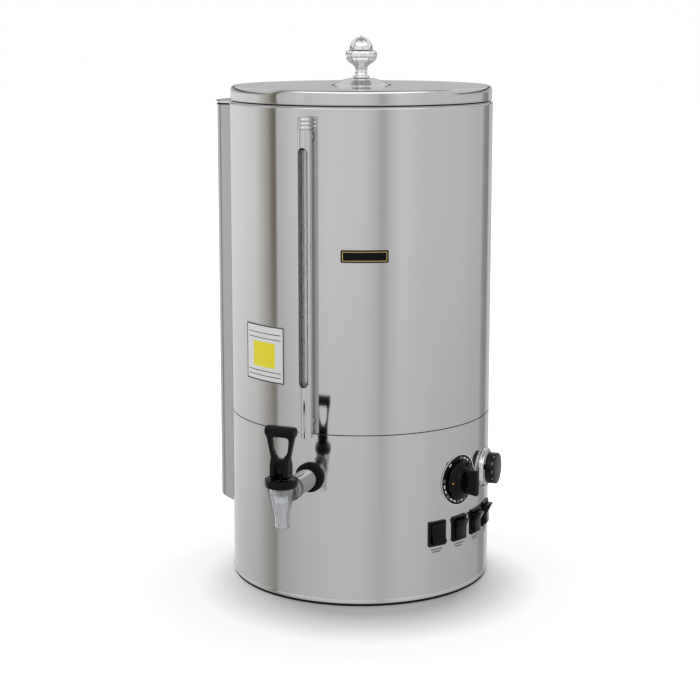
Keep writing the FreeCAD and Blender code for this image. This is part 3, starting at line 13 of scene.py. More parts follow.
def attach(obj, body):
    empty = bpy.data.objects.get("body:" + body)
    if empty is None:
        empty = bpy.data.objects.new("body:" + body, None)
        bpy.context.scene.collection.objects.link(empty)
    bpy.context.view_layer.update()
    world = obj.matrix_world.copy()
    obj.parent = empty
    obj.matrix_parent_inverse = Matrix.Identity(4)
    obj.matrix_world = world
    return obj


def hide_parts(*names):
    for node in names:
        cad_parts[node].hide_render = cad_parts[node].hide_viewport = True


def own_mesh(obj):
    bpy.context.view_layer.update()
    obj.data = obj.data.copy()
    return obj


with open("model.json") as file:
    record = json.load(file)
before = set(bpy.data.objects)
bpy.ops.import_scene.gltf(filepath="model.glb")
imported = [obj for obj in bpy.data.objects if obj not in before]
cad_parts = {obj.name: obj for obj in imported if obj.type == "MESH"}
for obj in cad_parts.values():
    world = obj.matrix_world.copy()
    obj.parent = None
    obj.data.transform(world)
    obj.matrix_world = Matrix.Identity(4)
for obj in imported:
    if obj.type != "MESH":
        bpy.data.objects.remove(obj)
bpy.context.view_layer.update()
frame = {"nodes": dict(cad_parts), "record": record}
bpy.context.scene.view_settings.view_transform = "Standard"

BODY_RADIUS = 0.160
MM = 0.001
SHEET_LIFT = 0.0002


# Placing

def outward(azimuth):
    angle = math.radians(azimuth)
    return Vector((math.sin(angle), -math.cos(angle), 0))


def seat(azimuth, up, out=BODY_RADIUS):
    """Matrix that turns a piece's local x, y, z into sideways, up and away from the urn."""
    normal = outward(azimuth)
    across = Vector((-normal.y, normal.x, 0))
    columns = (across, Vector((0, 0, 1)), normal)
    turn = Matrix([[column[row] for column in columns] for row in range(3)])
    return Matrix.Translation(normal * out + Vector((0, 0, up))) @ turn.to_4x4()


def wrapped(mesh, azimuth, up, radius=BODY_RADIUS):
    """Bend a flat local mesh round the urn's wall."""
    for vertex in mesh.vertices:
        x, y, z = vertex.co
        spot = outward(azimuth + math.degrees(x / radius)) * (radius + z)
        vertex.co = (spot.x, spot.y, up + y)


# Making pieces

def finished(name, mesh, coat, body, replaces=(), smooth=True):
    """Turn a mesh whose place is in its vertices into a piece of the object."""
    mesh.materials.clear()
    mesh.materials.append(coat)
    if smooth:
        mesh.shade_smooth()
    piece = bpy.data.objects.new(name, mesh)
    bpy.context.collection.objects.link(piece)
    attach(piece, body)
    if replaces:
        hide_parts(*replaces)
    return piece


def mesh_of(builder):
    """A mesh from a bmesh, with its normals turned outwards."""
    bmesh.ops.remove_doubles(builder, verts=builder.verts, dist=1e-7)
    bmesh.ops.recalc_face_normals(builder, faces=builder.faces)
    mesh = bpy.data.meshes.new("piece")
    builder.to_mesh(mesh)
    builder.free()
    return mesh


def final_mesh(carrier):
    """The mesh of a helper object after its modifiers. The helper is then removed."""
    bpy.context.collection.objects.link(carrier)
    graph = bpy.context.evaluated_depsgraph_get()
    made = bpy.data.meshes.new_from_object(carrier.evaluated_get(graph))
    bpy.data.objects.remove(carrier)
    return made


def baked(mesh, steps):
    """The mesh after a stack of modifiers, each given as a kind and its settings."""
    carrier = bpy.data.objects.new("carrier", mesh)
    for kind, settings in steps:
        modifier = carrier.modifiers.new(kind.lower(), kind)
        for key, value in settings.items():
            setattr(modifier, key, value)
    return final_mesh(carrier)


def moved(mesh, place):
    mesh.transform(Matrix.Translation(place))
    return mesh


def rounding(width, segments=3, angle=28):
    """Step for baked() that rounds the edges sharper than the angle."""
    return ("BEVEL", {"width": width, "segments": segments, "limit_method": "ANGLE",
                      "angle_limit": math.radians(angle), "harden_normals": True})


def turned_mesh(profile, segments=96):
    """Turn a closed loop of points (radius, height) round +Z."""
    builder = bmesh.new()
    rings = []
    for radius, height in profile:
        if not radius:
            rings.append([builder.verts.new((0, 0, height))] * segments)
            continue
        rings.append([builder.verts.new((radius * math.cos(math.tau * step / segments),
                                         radius * math.sin(math.tau * step / segments), height))
                      for step in range(segments)])
    for low, high in zip(rings, rings[1:] + rings[:1]):
        for step in range(segments):
            after = (step + 1) % segments
            corners = []
            for vertex in (low[step], low[after], high[after], high[step]):
                if vertex not in corners:
                    corners.append(vertex)
            if len(corners) > 2:
                builder.faces.new(corners)
    return mesh_of(builder)


def arc(centre, radius, start, end, steps=8):
    """Points of an arc in a profile, angles in degrees."""
    spots = []
    for step in range(steps + 1):
        angle = math.radians(start + (end - start) * step / steps)
        spots.append((centre[0] + radius * math.cos(angle), centre[1] + radius * math.sin(angle)))
    return spots


def copied(node):
    """A merged copy of a CAD node's mesh, with flat faces made whole again."""
    builder = bmesh.new()
    builder.from_mesh(frame["nodes"][node].data)
    bmesh.ops.remove_doubles(builder, verts=builder.verts, dist=2e-6)
    bmesh.ops.dissolve_limit(builder, angle_limit=math.radians(1.0), verts=builder.verts, edges=builder.edges)
    return mesh_of(builder)


def softened(node, coat, width):
    """A piece that stands for a CAD node, with its edges rounded as moulding or polishing leaves them."""
    record = frame["record"]
    body = next(key for key, nodes in record["behaviour"]["bodies"].items() if node in nodes)
    finished(f"{node}_rounded", baked(copied(node), [rounding(width)]), coat, body, [node])


def lettering(words, size, raised=0.05 * MM):
    """Plain characters as a thin closed mesh, centred on the origin in the local xy plane."""
    curve = bpy.data.curves.new("lettering", "FONT")
    curve.body, curve.size, curve.extrude = words, size, raised
    curve.align_x, curve.align_y = "CENTER", "CENTER"
    curve.resolution_u = 4
    return final_mesh(bpy.data.objects.new("carrier", curve))


def joined(meshes):
    """One mesh from several."""
    builder = bmesh.new()
    for mesh in meshes:
        builder.from_mesh(mesh)
    made = bpy.data.meshes.new("joined")
    builder.to_mesh(made)
    builder.free()
    return made


def box_mesh(width, tall, depth, centre=(0, 0, 0), cuts=0):
    """A box, cut across its width so that it can be bent."""
    builder = bmesh.new()
    bmesh.ops.create_cube(builder, size=1, matrix=Matrix.Translation(centre) @ Matrix.Diagonal(
        (width, tall, depth, 1)))
    if cuts:
        across = [edge for edge in builder.edges
                  if abs(edge.verts[0].co.x - edge.verts[1].co.x) > width / 2]
        bmesh.ops.subdivide_edges(builder, edges=across, cuts=cuts)
    return mesh_of(builder)


FRAME_CUTS = 12


def frame_mesh(width, tall, line, depth):
    """A thin rectangular outline, cut along its sides so that it can be bent."""
    builder = bmesh.new()
    corners = ((-1, -1), (1, -1), (1, 1), (-1, 1))
    sides = []
    for grow in (0, -line):
        ring = []
        for start, end in zip(corners, corners[1:] + corners[:1]):
            for step in range(FRAME_CUTS):
                share = step / FRAME_CUTS
                ring.append(((start[0] + (end[0] - start[0]) * share) * (width / 2 + grow),
                             (start[1] + (end[1] - start[1]) * share) * (tall / 2 + grow)))
        sides.append(ring)
    loops = [[builder.verts.new((x, y, z)) for x, y in ring] for z in (0, depth) for ring in sides]
    outer_low, inner_low, outer_high, inner_high = loops
    for first, second in ((outer_low, inner_low), (inner_low, inner_high), (inner_high, outer_high),
                          (outer_high, outer_low)):
        for index in range(len(first)):
            after = (index + 1) % len(first)
            builder.faces.new((first[index], first[after], second[after], second[index]))
    return mesh_of(builder)


# Nodes

def feed(tree, socket, value):
    """Link an output to a socket, or set a plain value on it."""
    if isinstance(value, bpy.types.NodeSocket):
        tree.links.new(value, socket)
    else:
        socket.default_value = value


def add(tree, kind, **settings):
    """A new node; the settings name its sockets or its properties."""
    node = tree.nodes.new(kind)
    for key, value in settings.items():
        if key in node.inputs:
            feed(tree, node.inputs[key], value)
        else:
            setattr(node, key, value)
    return node


def computed(tree, operation, *values):
    """Result of a Math node."""
    node = add(tree, "ShaderNodeMath", operation=operation)
    for socket, value in zip(node.inputs, values):
        feed(tree, socket, value)
    return node.outputs[0]


def ranged(tree, source, low, high, first=0.0, last=1.0):
    """Turn low to high into first to last, and hold beyond them."""
    node = add(tree, "ShaderNodeMapRange", Value=source)
    for key, value in zip(("From Min", "From Max", "To Min", "To Max"), (low, high, first, last)):
        node.inputs[key].default_value = value
    return node.outputs[0]


def mixed_color(tree, share, first, second):
    """Blend of two colours, each given as four numbers or as an output."""
    node = add(tree, "ShaderNodeMix", data_type="RGBA", Factor=share)
    feed(tree, node.inputs[6], first)
    feed(tree, node.inputs[7], second)
    return node.outputs[2]


def mixed_shader(tree, share, first, second):
    node = add(tree, "ShaderNodeMixShader")
    for socket, value in zip(node.inputs, (share, first, second)):
        tree.links.new(value, socket)
    return node.outputs[0]


# Copies of one small shape round a circle

RING_INPUTS = (("Copy", "Object"), ("Count", "Int"), ("Radius", "Float"), ("Start", "Float"),
               ("Step", "Float"), ("Finish", "Material"))


def ring_tree():
    """Geometry Nodes tree that sets copies of an object round a circle."""
    tree = bpy.data.node_groups.new("ring_of_copies", "GeometryNodeTree")
    for label, kind in RING_INPUTS:
        tree.interface.new_socket(label, in_out="INPUT", socket_type=f"NodeSocket{kind}")
    tree.interface.new_socket("Geometry", in_out="OUTPUT", socket_type="NodeSocketGeometry")
    given = add(tree, "NodeGroupInput").outputs
    index = add(tree, "GeometryNodeInputIndex").outputs[0]
    angle = computed(tree, "MULTIPLY_ADD", index, given["Step"], given["Start"])
    along, aside = (computed(tree, "MULTIPLY", computed(tree, wave, angle), given["Radius"])
                    for wave in ("COSINE", "SINE"))
    spot = add(tree, "ShaderNodeCombineXYZ", X=along, Y=aside)
    turn = add(tree, "ShaderNodeCombineXYZ", Z=angle)
    points = add(tree, "GeometryNodePoints", Count=given["Count"], Position=spot.outputs[0])
    shape = add(tree, "GeometryNodeObjectInfo", Object=given["Copy"])
    place = add(tree, "GeometryNodeInstanceOnPoints", Points=points.outputs[0],
                Instance=shape.outputs["Geometry"], Rotation=turn.outputs[0])
    realize = add(tree, "GeometryNodeRealizeInstances", Geometry=place.outputs[0])
    paint = add(tree, "GeometryNodeSetMaterial", Geometry=realize.outputs[0], Material=given["Finish"])
    tree.links.new(paint.outputs[0], add(tree, "NodeGroupOutput").inputs[0])
    return tree


RING_TREE = ring_tree()


def ring_of(shape, count, radius, start, step, coat):
    """Copies of a small mesh round a circle, local x pointing away from its middle; angles in degrees."""
    template = bpy.data.objects.new("template", shape)
    bpy.context.collection.objects.link(template)
    carrier = bpy.data.objects.new("carrier", bpy.data.meshes.new("empty"))
    modifier = carrier.modifiers.new("ring", "NODES")
    modifier.node_group = RING_TREE
    values = {"Copy": template, "Count": count, "Radius": radius, "Start": math.radians(start),
              "Step": math.radians(step), "Finish": coat}
    for item in RING_TREE.interface.items_tree:
        if item.in_out == "INPUT":
            modifier[item.identifier] = values[item.name]
    made = final_mesh(carrier)
    bpy.data.objects.remove(template)
    return made


# Finishes

GRAIN_DEPTH, BLOTCH_SCALE = 0.0002, 7.0
EDGE_FACING = (0.30, 0.66)


def finish(name, color, roughness, metallic=0.0, **more):
    """A Principled material; extra sockets are given by name with underscores."""
    made = bpy.data.materials.new(name)
    made.use_nodes = True
    shader = made.node_tree.nodes["Principled BSDF"]
    settings = {"Base Color": (*color, 1), "Roughness": roughness, "Metallic": metallic}
    settings.update({key.replace("_", " "): value for key, value in more.items()})
    for key, value in settings.items():
        shader.inputs[key].default_value = value
    return made


def edge_shade(made, level):
    """Darken the outline of a clear piece, where one looks through its wall lengthways."""
    tree = made.node_tree
    shader = tree.nodes["Principled BSDF"]
    weight = add(tree, "ShaderNodeLayerWeight", Blend=0.5)
    steep = ranged(tree, weight.outputs["Facing"], *EDGE_FACING)
    color = tuple(shader.inputs["Base Color"].default_value)
    dark = (*[value * level for value in color[:3]], 1)
    tree.links.new(mixed_color(tree, steep, color, dark), shader.inputs["Base Color"])


def grain(made, stretch, scale, bump, blotch=0.0, shade=0.0, round_axis=False):
    """Give a finish fine grain: bump from stretched noise, and slow changes of roughness and shade."""
    tree = made.node_tree
    shader = tree.nodes["Principled BSDF"]
    source = add(tree, "ShaderNodeTexCoord").outputs["Object"]
    if round_axis:
        parts = add(tree, "ShaderNodeSeparateXYZ", Vector=source).outputs
        around = computed(tree, "ARCTAN2", parts["X"], parts["Y"])
        length = computed(tree, "MULTIPLY", around, BODY_RADIUS)
        source = add(tree, "ShaderNodeCombineXYZ", X=length, Z=parts["Z"]).outputs[0]
    stretched = add(tree, "ShaderNodeMapping", Scale=stretch, Vector=source).outputs[0]
    fine = add(tree, "ShaderNodeTexNoise", Scale=scale, Detail=3.0, Vector=stretched).outputs["Fac"]
    raised = add(tree, "ShaderNodeBump", Strength=bump, Distance=GRAIN_DEPTH, Height=fine)
    tree.links.new(raised.outputs[0], shader.inputs["Normal"])
    if blotch:
        slow = add(tree, "ShaderNodeTexNoise", Scale=BLOTCH_SCALE, Detail=2.0, Vector=source).outputs["Fac"]
        base = shader.inputs["Roughness"].default_value
        tree.links.new(ranged(tree, slow, 0.0, 1.0, base - blotch, base + blotch), shader.inputs["Roughness"])
    if shade:
        color = shader.inputs["Base Color"].default_value
        ends = [(*[min(1, value * (1 + change)) for value in color[:3]], 1) for change in (-shade, shade)]
        tree.links.new(mixed_color(tree, fine, *ends), shader.inputs["Base Color"])
    return made


STEEL = (0.60, 0.60, 0.605)
satin = grain(finish("satin_steel", STEEL, 0.085, 1.0), (6, 6, 400), 9, 0.02, blotch=0.015, shade=0.02,
              round_axis=True)
# The riser's steel: its vertical grain is its finish, and its base, darker than the body's steel, is painted
# shade.
shaded_column_steel = grain(finish("shaded_column_steel", (0.50, 0.50, 0.50), 0.16, 1.0), (400, 400, 6), 9, 0.03,
                     blotch=0.03, shade=0.02)
polished = grain(finish("polished_steel", (0.66, 0.66, 0.665), 0.06, 1.0), (30, 30, 30), 4, 0.012,
                 blotch=0.015, shade=0.01)
chrome = grain(finish("bright_chrome", (0.87, 0.87, 0.88), 0.05, 1.0), (30, 30, 30), 4, 0.012, blotch=0.012,
               shade=0.01)
lid_steel = grain(finish("lid_steel", (0.60, 0.60, 0.605), 0.07, 1.0), (30, 30, 30), 4, 0.02,
                  blotch=0.02, shade=0.01)
tube_steel = grain(finish("tube_steel", (0.62, 0.62, 0.63), 0.16, 1.0), (300, 300, 8), 8, 0.03,
                   blotch=0.02, shade=0.02)
shank_steel = grain(finish("shank_steel", (0.50, 0.49, 0.48), 0.20, 1.0), (8, 500, 8), 9, 0.08,
                    blotch=0.03, shade=0.03)
inner_steel = grain(finish("inner_steel", (0.55, 0.55, 0.55), 0.28, 1.0), (8, 8, 200), 9, 0.05,
                    blotch=0.04, shade=0.03, round_axis=True)
zinc = grain(finish("zinc_plate", (0.50, 0.51, 0.52), 0.38, 1.0), (60, 60, 60), 6, 0.08, blotch=0.08,
             shade=0.10)
rubber = grain(finish("black_rubber", (0.008, 0.008, 0.0085), 0.55, Specular_IOR_Level=0.10), (1, 1, 1), 900,
               0.10, blotch=0.06, shade=0.12)
gloss_black = grain(finish("gloss_black", (0.004, 0.004, 0.0045), 0.08, Specular_IOR_Level=0.13), (1, 1, 1),
                    500, 0.03, blotch=0.03, shade=0.10)
knob_black = grain(finish("knob_black", (0.008, 0.008, 0.0095), 0.32, Specular_IOR_Level=0.28), (1, 1, 1),
                   700, 0.08, blotch=0.05, shade=0.10)
dark_plastic = grain(finish("dark_plastic", (0.045, 0.045, 0.05), 0.45), (1, 1, 1), 600, 0.08, blotch=0.06,
                     shade=0.10)
dial_black = grain(finish("dial_black", (0.005, 0.005, 0.005), 0.28, Specular_IOR_Level=0.10), (1, 1, 1), 400,
                   0.03, blotch=0.04, shade=0.08)
clear_plastic = grain(finish("clear_plastic", (0.84, 0.85, 0.87), 0.07, Transmission_Weight=0.78, IOR=1.18),
                      (1, 1, 1), 90, 0.04, blotch=0.03)
edge_shade(clear_plastic, 0.12)
glass = grain(finish("clear_glass", (0.97, 0.985, 0.985), 0.02, Transmission_Weight=1.0, IOR=1.47),
              (20, 20, 2), 8, 0.01)
silicone = grain(finish("silicone", (0.80, 0.79, 0.75), 0.45, Subsurface_Weight=0.2), (1, 1, 1), 300, 0.05,
                 blotch=0.05, shade=0.03)
copper = grain(finish("bare_copper", (0.72, 0.42, 0.27), 0.30, 1.0), (60, 60, 60), 6, 0.05, blotch=0.06,
               shade=0.12)
heater = grain(finish("heater_sheath", (0.20, 0.19, 0.18), 0.42, 1.0), (60, 60, 60), 8, 0.10, blotch=0.08,
               shade=0.20)
gold = grain(finish("gold_print", (0.72, 0.52, 0.16), 0.30, 0.8), (1, 1, 1), 900, 0.03, blotch=0.05,
             shade=0.05)
white_print = grain(finish("white_print", (0.86, 0.86, 0.85), 0.50), (1, 1, 1), 900, 0.02, blotch=0.04,
                    shade=0.02)
backing_grey = grain(finish("backing_grey", (0.62, 0.62, 0.62), 0.40, 0.5), (1, 1, 1), 500, 0.03, blotch=0.05,
                     shade=0.05)
pale_print = grain(finish("pale_print", (0.45, 0.45, 0.45), 0.50), (1, 1, 1), 900, 0.02, blotch=0.04,
                   shade=0.02)
grey_print = grain(finish("grey_print", (0.09, 0.09, 0.095), 0.50), (1, 1, 1), 900, 0.02, blotch=0.04,
                   shade=0.05)
orange_print = grain(finish("orange_print", (0.90, 0.42, 0.03), 0.45), (1, 1, 1), 900, 0.02, blotch=0.04,
                     shade=0.04)
yellow_print = grain(finish("yellow_print", (0.93, 0.80, 0.03), 0.42), (1, 1, 1), 900, 0.02, blotch=0.04,
                     shade=0.02)
paper = grain(finish("label_paper", (0.83, 0.83, 0.83), 0.40), (1, 1, 1), 700, 0.03, blotch=0.05, shade=0.01)
ink = grain(finish("label_ink", (0.02, 0.02, 0.02), 0.40), (1, 1, 1), 900, 0.02, blotch=0.04, shade=0.06)

CAD_FINISHES = {
    satin: ("lower_housing", "upper_jacket"),
    shaded_column_steel: ("riser_cover", "riser_sole", "riser_cap"),
    tube_steel: ("gauge_guard",),
    shank_steel: ("tap_shank",),
    inner_steel: ("tank", "lid_liner", "coffee_basket", "riser_pipe", "spray_head", "outlet_pipe",
                  "gauge_lower_fitting", "gauge_upper_fitting"),
    zinc: ("base_plate", "base_screws", "support_ring", "gauge_locknuts", "tap_locknut", "lid_nut"),
    rubber: ("foot_ring", "tap_gasket", "lid_gasket", "riser_plug", "tap_stem", "tap_pin"),
    dark_plastic: ("circulation_pump", "thermostat_body", "timer_body", "overheat_cutout"),
    dial_black: ("thermostat_dial", "name_plate"),
    gloss_black: ("cable_gland", "tap_handle", "tap_bonnet", "thermostat_knob", "timer_knob",
                  "switch_frame_1", "switch_frame_2", "switch_frame_3", "switch_frame_4",
                  "rocker_1", "rocker_2", "rocker_3", "rocker_4"),
    polished: ("lid_cover", "lid_knob", "gauge_cap", "timer_bezel"),
    clear_plastic: ("tap_body",),
    glass: ("gauge_glass",),
    silicone: ("suction_hose", "gauge_seals", "tap_seat"),
    copper: ("thermostat_bulb",),
    heater: ("heating_element",),
    paper: ("label",),
}
for material, nodes in CAD_FINISHES.items():
    for node in nodes:
        for place in frame["nodes"][node].material_slots:
            place.material = material


# Camera, floor and light

CAMERA_AZIMUTH = 21.8
CAMERA_DISTANCE = 2.0462
CAMERA_HEIGHT = 0.6891
CAMERA_PITCH, CAMERA_YAW = 9.726, 0.379
SENSOR, LENS, SHIFT = 36.0, 86.06, -0.07


def set_camera():
    lens = bpy.data.cameras.new("camera")
    lens.sensor_width, lens.lens, lens.shift_y = SENSOR, LENS, SHIFT
    holder = bpy.data.objects.new("camera", lens)
    bpy.context.collection.objects.link(holder)
    holder.location = outward(CAMERA_AZIMUTH) * CAMERA_DISTANCE + Vector((0, 0, CAMERA_HEIGHT))
    holder.rotation_euler = Euler([math.radians(angle)
                                   for angle in (90 - CAMERA_PITCH, 0, CAMERA_AZIMUTH + CAMERA_YAW)])
    bpy.context.scene.camera = holder


def seen_and_lit(tree, seen, lit):
    """The camera, mirrors and glass see the first shader, and the rest is lit by the second."""
    path = add(tree, "ShaderNodeLightPath").outputs
    total = path["Is Camera Ray"]
    for kind in ("Is Glossy Ray", "Is Transmission Ray"):
        total = computed(tree, "MAXIMUM", total, path[kind])
    return mixed_shader(tree, total, lit, seen), path["Is Glossy Ray"]


# What polished steel sees of the studio: azimuth from the camera, level, warmth. The upper wall of the urn
# sees the first row of screens and its foot the second, towards the floor.
SCREENS = ((-180, 0.86, 0), (-160, 0.82, 0), (-140, 0.94, 0), (-130, 0.97, 0), (-117, 0.94, 0.02),
           (-105, 0.92, 0.02), (-100, 0.82, 0.05), (-94, 0.67, 0.08), (-88, 0.51, 0.15), (-83, 0.27, 0.24),
           (-78.5, 0.18, 0.28), (-77.5, 0.68, 0.01), (-57, 0.86, 0), (-45, 0.80, 0), (-26, 0.87, 0),
           (2, 0.83, 0), (12, 0.72, 0), (18, 0.54, 0), (25, 0.72, 0), (34, 0.87, 0), (55, 0.79, 0),
           (95, 0.76, 0), (130, 0.65, 0), (135, 0.36, 0), (147, 0.28, 0), (150, 0.64, 0), (165, 0.60, 0),
           (180, 0.86, 0))
LOW_SCREENS = ((-180, 0.80, 0), (-143, 0.72, 0), (-118, 0.70, 0.02), (-104, 0.64, 0.04), (-90, 0.46, 0.08),
               (-80.5, 0.36, 0.12), (-79.5, 0.52, 0.02), (-55, 0.66, 0), (-28, 0.73, 0), (2, 0.73, 0),
               (18, 0.63, 0), (34, 0.72, 0), (55, 0.70, 0), (70, 0.63, 0), (100, 0.59, 0), (130, 0.51, 0),
               (135, 0.38, 0), (147, 0.36, 0), (150, 0.55, 0), (180, 0.80, 0))
# The far side above the horizon, seen by the lid: height as the sine of the elevation, level
FAR_SIDE = ((0.0, 0.50), (0.10, 0.55), (0.14, 0.08), (0.19, 0.08), (0.24, 0.80), (0.68, 0.85), (0.75, 0.42),
            (1.0, 0.42))
FAR_EDGE, HORIZON, LOW_EDGE = (-0.1, 0.1), (0.0, 0.01), (-0.12, -0.32)
CEILING, CEILING_COLOR = (0.93, 0.97), (0.30, 0.30, 0.30, 1)
# The softbox over the near side: its depth and the two edges of its height
SOFTBOX_EDGES, SOFTBOX_LEVEL = (("Y", -0.15, -0.30), ("Z", 0.56, 0.60), ("Z", 0.80, 0.76)), 1.9
PLAIN_LIGHT = 0.72
# How much of its blue and green a warm screen loses
WARM_GREEN = 0.35


def screen_ramp(tree, source, wanted):
    """A colour ramp; the stops are (place from 0 to 1, level, warmth)."""
    ramp = add(tree, "ShaderNodeValToRGB", Fac=source)
    stops = ramp.color_ramp.elements
    while len(stops) < len(wanted):
        stops.new(0.5)
    for stop, (place, level, warmth) in zip(stops, wanted):
        stop.position = place
        stop.color = (level, level * (1 - warmth * WARM_GREEN), level * (1 - warmth), 1)
    return ramp.outputs[0]


def background(tree, level):
    return add(tree, "ShaderNodeBackground", Color=(1, 1, 1, 1), Strength=level).outputs[0]


def set_world():
    """White to the camera, plain light for the object, and painted screens for what is polished."""
    world = bpy.data.worlds.new("studio")
    bpy.context.scene.world = world
    world.use_nodes = True
    tree = world.node_tree
    tree.nodes.clear()
    plain, mirrored = seen_and_lit(tree, background(tree, 1.0), background(tree, PLAIN_LIGHT))
    turned = add(tree, "ShaderNodeVectorRotate", rotation_type="Z_AXIS", Angle=-math.radians(CAMERA_AZIMUTH),
                 Vector=add(tree, "ShaderNodeTexCoord").outputs["Generated"])
    parts = add(tree, "ShaderNodeSeparateXYZ", Vector=turned.outputs[0]).outputs
    around = computed(tree, "ARCTAN2", parts["X"], computed(tree, "MULTIPLY", parts["Y"], -1))
    share = ranged(tree, around, -math.pi, math.pi)
    rows = [screen_ramp(tree, share, [((azimuth + 180) / 360, level, warmth)
                                      for azimuth, level, warmth in row]) for row in (SCREENS, LOW_SCREENS)]
    walls = mixed_color(tree, ranged(tree, parts["Z"], *LOW_EDGE), *rows)
    far = screen_ramp(tree, parts["Z"], [(height, level, 0) for height, level in FAR_SIDE])
    beyond = computed(tree, "MULTIPLY", ranged(tree, parts["Z"], *HORIZON),
                      ranged(tree, parts["Y"], *FAR_EDGE))
    seen = mixed_color(tree, beyond, walls, far)
    seen = mixed_color(tree, ranged(tree, parts["Z"], *CEILING), seen, CEILING_COLOR)
    screens = add(tree, "ShaderNodeBackground", Color=seen).outputs[0]
    depth, low, high = (ranged(tree, parts[axis], *edge) for axis, *edge in SOFTBOX_EDGES)
    inside = computed(tree, "MULTIPLY", computed(tree, "MULTIPLY", depth, low), high)
    lights = mixed_shader(tree, inside, screens, background(tree, SOFTBOX_LEVEL))
    out = add(tree, "ShaderNodeOutputWorld")
    tree.links.new(mixed_shader(tree, mirrored, plain, lights), out.inputs["Surface"])


FLOOR_SIZE, FLOOR_COLOR = 12, (0.56, 0.56, 0.56, 1)
# The floor's glow to the camera rises away from this place, so its shadow is partly real and partly painted
# shadow: each rise is from, to, first level, last level
SHADOW_MIDDLE = outward(CAMERA_AZIMUTH) * 0.070 + outward(CAMERA_AZIMUTH + 90) * 0.010
FLOOR_RISES = ((0.115, 0.210, 0.0, 0.50), (0.24, 1.20, 0.0, 0.50))


def set_floor():
    """Matt floor under the urn's shadow, white to the camera further off; its glow rises with distance, which
    paints part of the shadow.
    """
    builder = bmesh.new()
    bmesh.ops.create_grid(builder, x_segments=1, y_segments=1, size=FLOOR_SIZE)
    floor = bpy.data.objects.new("floor", mesh_of(builder))
    bpy.context.collection.objects.link(floor)
    made = bpy.data.materials.new("studio_floor")
    made.use_nodes = True
    tree = made.node_tree
    tree.nodes.clear()
    matt = add(tree, "ShaderNodeBsdfDiffuse", Color=FLOOR_COLOR).outputs[0]
    aside = add(tree, "ShaderNodeVectorMath", operation="SUBTRACT")
    feed(tree, aside.inputs[0], add(tree, "ShaderNodeNewGeometry").outputs["Position"])
    aside.inputs[1].default_value = SHADOW_MIDDLE
    away = add(tree, "ShaderNodeVectorMath", operation="LENGTH", Vector=aside.outputs[0]).outputs["Value"]
    # Less glow near the urn: painted shadow on top of the real one.
    level = computed(tree, "ADD", *[ranged(tree, away, *rise) for rise in FLOOR_RISES])
    both = add(tree, "ShaderNodeAddShader")
    tree.links.new(matt, both.inputs[0])
    tree.links.new(add(tree, "ShaderNodeEmission", Strength=level).outputs[0], both.inputs[1])
    shader, _ = seen_and_lit(tree, both.outputs[0], matt)
    tree.links.new(shader, add(tree, "ShaderNodeOutputMaterial").inputs["Surface"])
    floor.data.materials.append(made)
    floor.visible_glossy = False


LAMP_AIM = Vector((0, 0, 0.3))


def set_lamp(name, azimuth, distance, height, size, energy):
    """A square lamp, which steel and gloss don't show: they see the screens instead."""
    lamp = bpy.data.lights.new(name, "AREA")
    lamp.shape, lamp.size, lamp.energy = "SQUARE", size, energy
    holder = bpy.data.objects.new(name, lamp)
    bpy.context.collection.objects.link(holder)
    holder.location = outward(azimuth) * distance + Vector((0, 0, height))
    holder.rotation_euler = (LAMP_AIM - holder.location).to_track_quat("-Z", "Y").to_euler()
    holder.visible_glossy = False


# Lid

LID_TOP = 604.4
DOME_TOP = 612.6
LID_RADIUS = 158.8
LID_LOW = 587.5
DOME_SEAT, DOME_REACH, DOME_BEND = 12.5, 41.0, 1.05
STUD_HOLE = 3.1
SHEET = 1.0
FACETS = 192


def in_mm(profile, lift=0.0):
    """Points (radius, height) in metres, from millimetres."""
    return [(radius * MM, (height + lift) * MM) for radius, height in profile]


def dome_points(steps=14):
    """The shallow swell in the lid's middle, from its flat seat to the lid's top."""
    spots = []
    for step in range(steps + 1):
        share = step / steps
        swell = 0.5 + 0.5 * math.cos(math.pi * share ** DOME_BEND)
        spots.append((DOME_SEAT + (DOME_REACH - DOME_SEAT) * share, LID_TOP + (DOME_TOP - LID_TOP) * swell))
    return spots


def lid_cover():
    """The lid's polished cover: dome, crowned top, rounded corner and a rolled lower edge."""
    corner = (arc((154.6, LID_TOP - 3.4), 3.4, 90, 28, 10)
              + [(158.15, 601.2), (158.5, 599.9), (158.75, 598.6), (LID_RADIUS, 597.4)])
    hem = arc((LID_RADIUS - 0.8, LID_LOW + 0.8), 0.8, 0, -120, 6)
    outside = ([(STUD_HOLE, DOME_TOP), (12.0, DOME_TOP)] + dome_points()
               + [(60.0, LID_TOP), (110.0, LID_TOP)] + corner + [(LID_RADIUS, LID_LOW + 5.0)] + hem)
    inside = [(LID_RADIUS - 1.6, LID_LOW + SHEET), (LID_RADIUS - SHEET, LID_TOP - 3.8),
              (LID_RADIUS - 4.0, LID_TOP - SHEET), (DOME_REACH, LID_TOP - SHEET),
              (DOME_SEAT, DOME_TOP - SHEET), (STUD_HOLE, DOME_TOP - SHEET)]
    mesh = turned_mesh(in_mm(outside + inside), FACETS)
    finished("lid_cover_polished", mesh, lid_steel, "lid", ["lid_cover"])


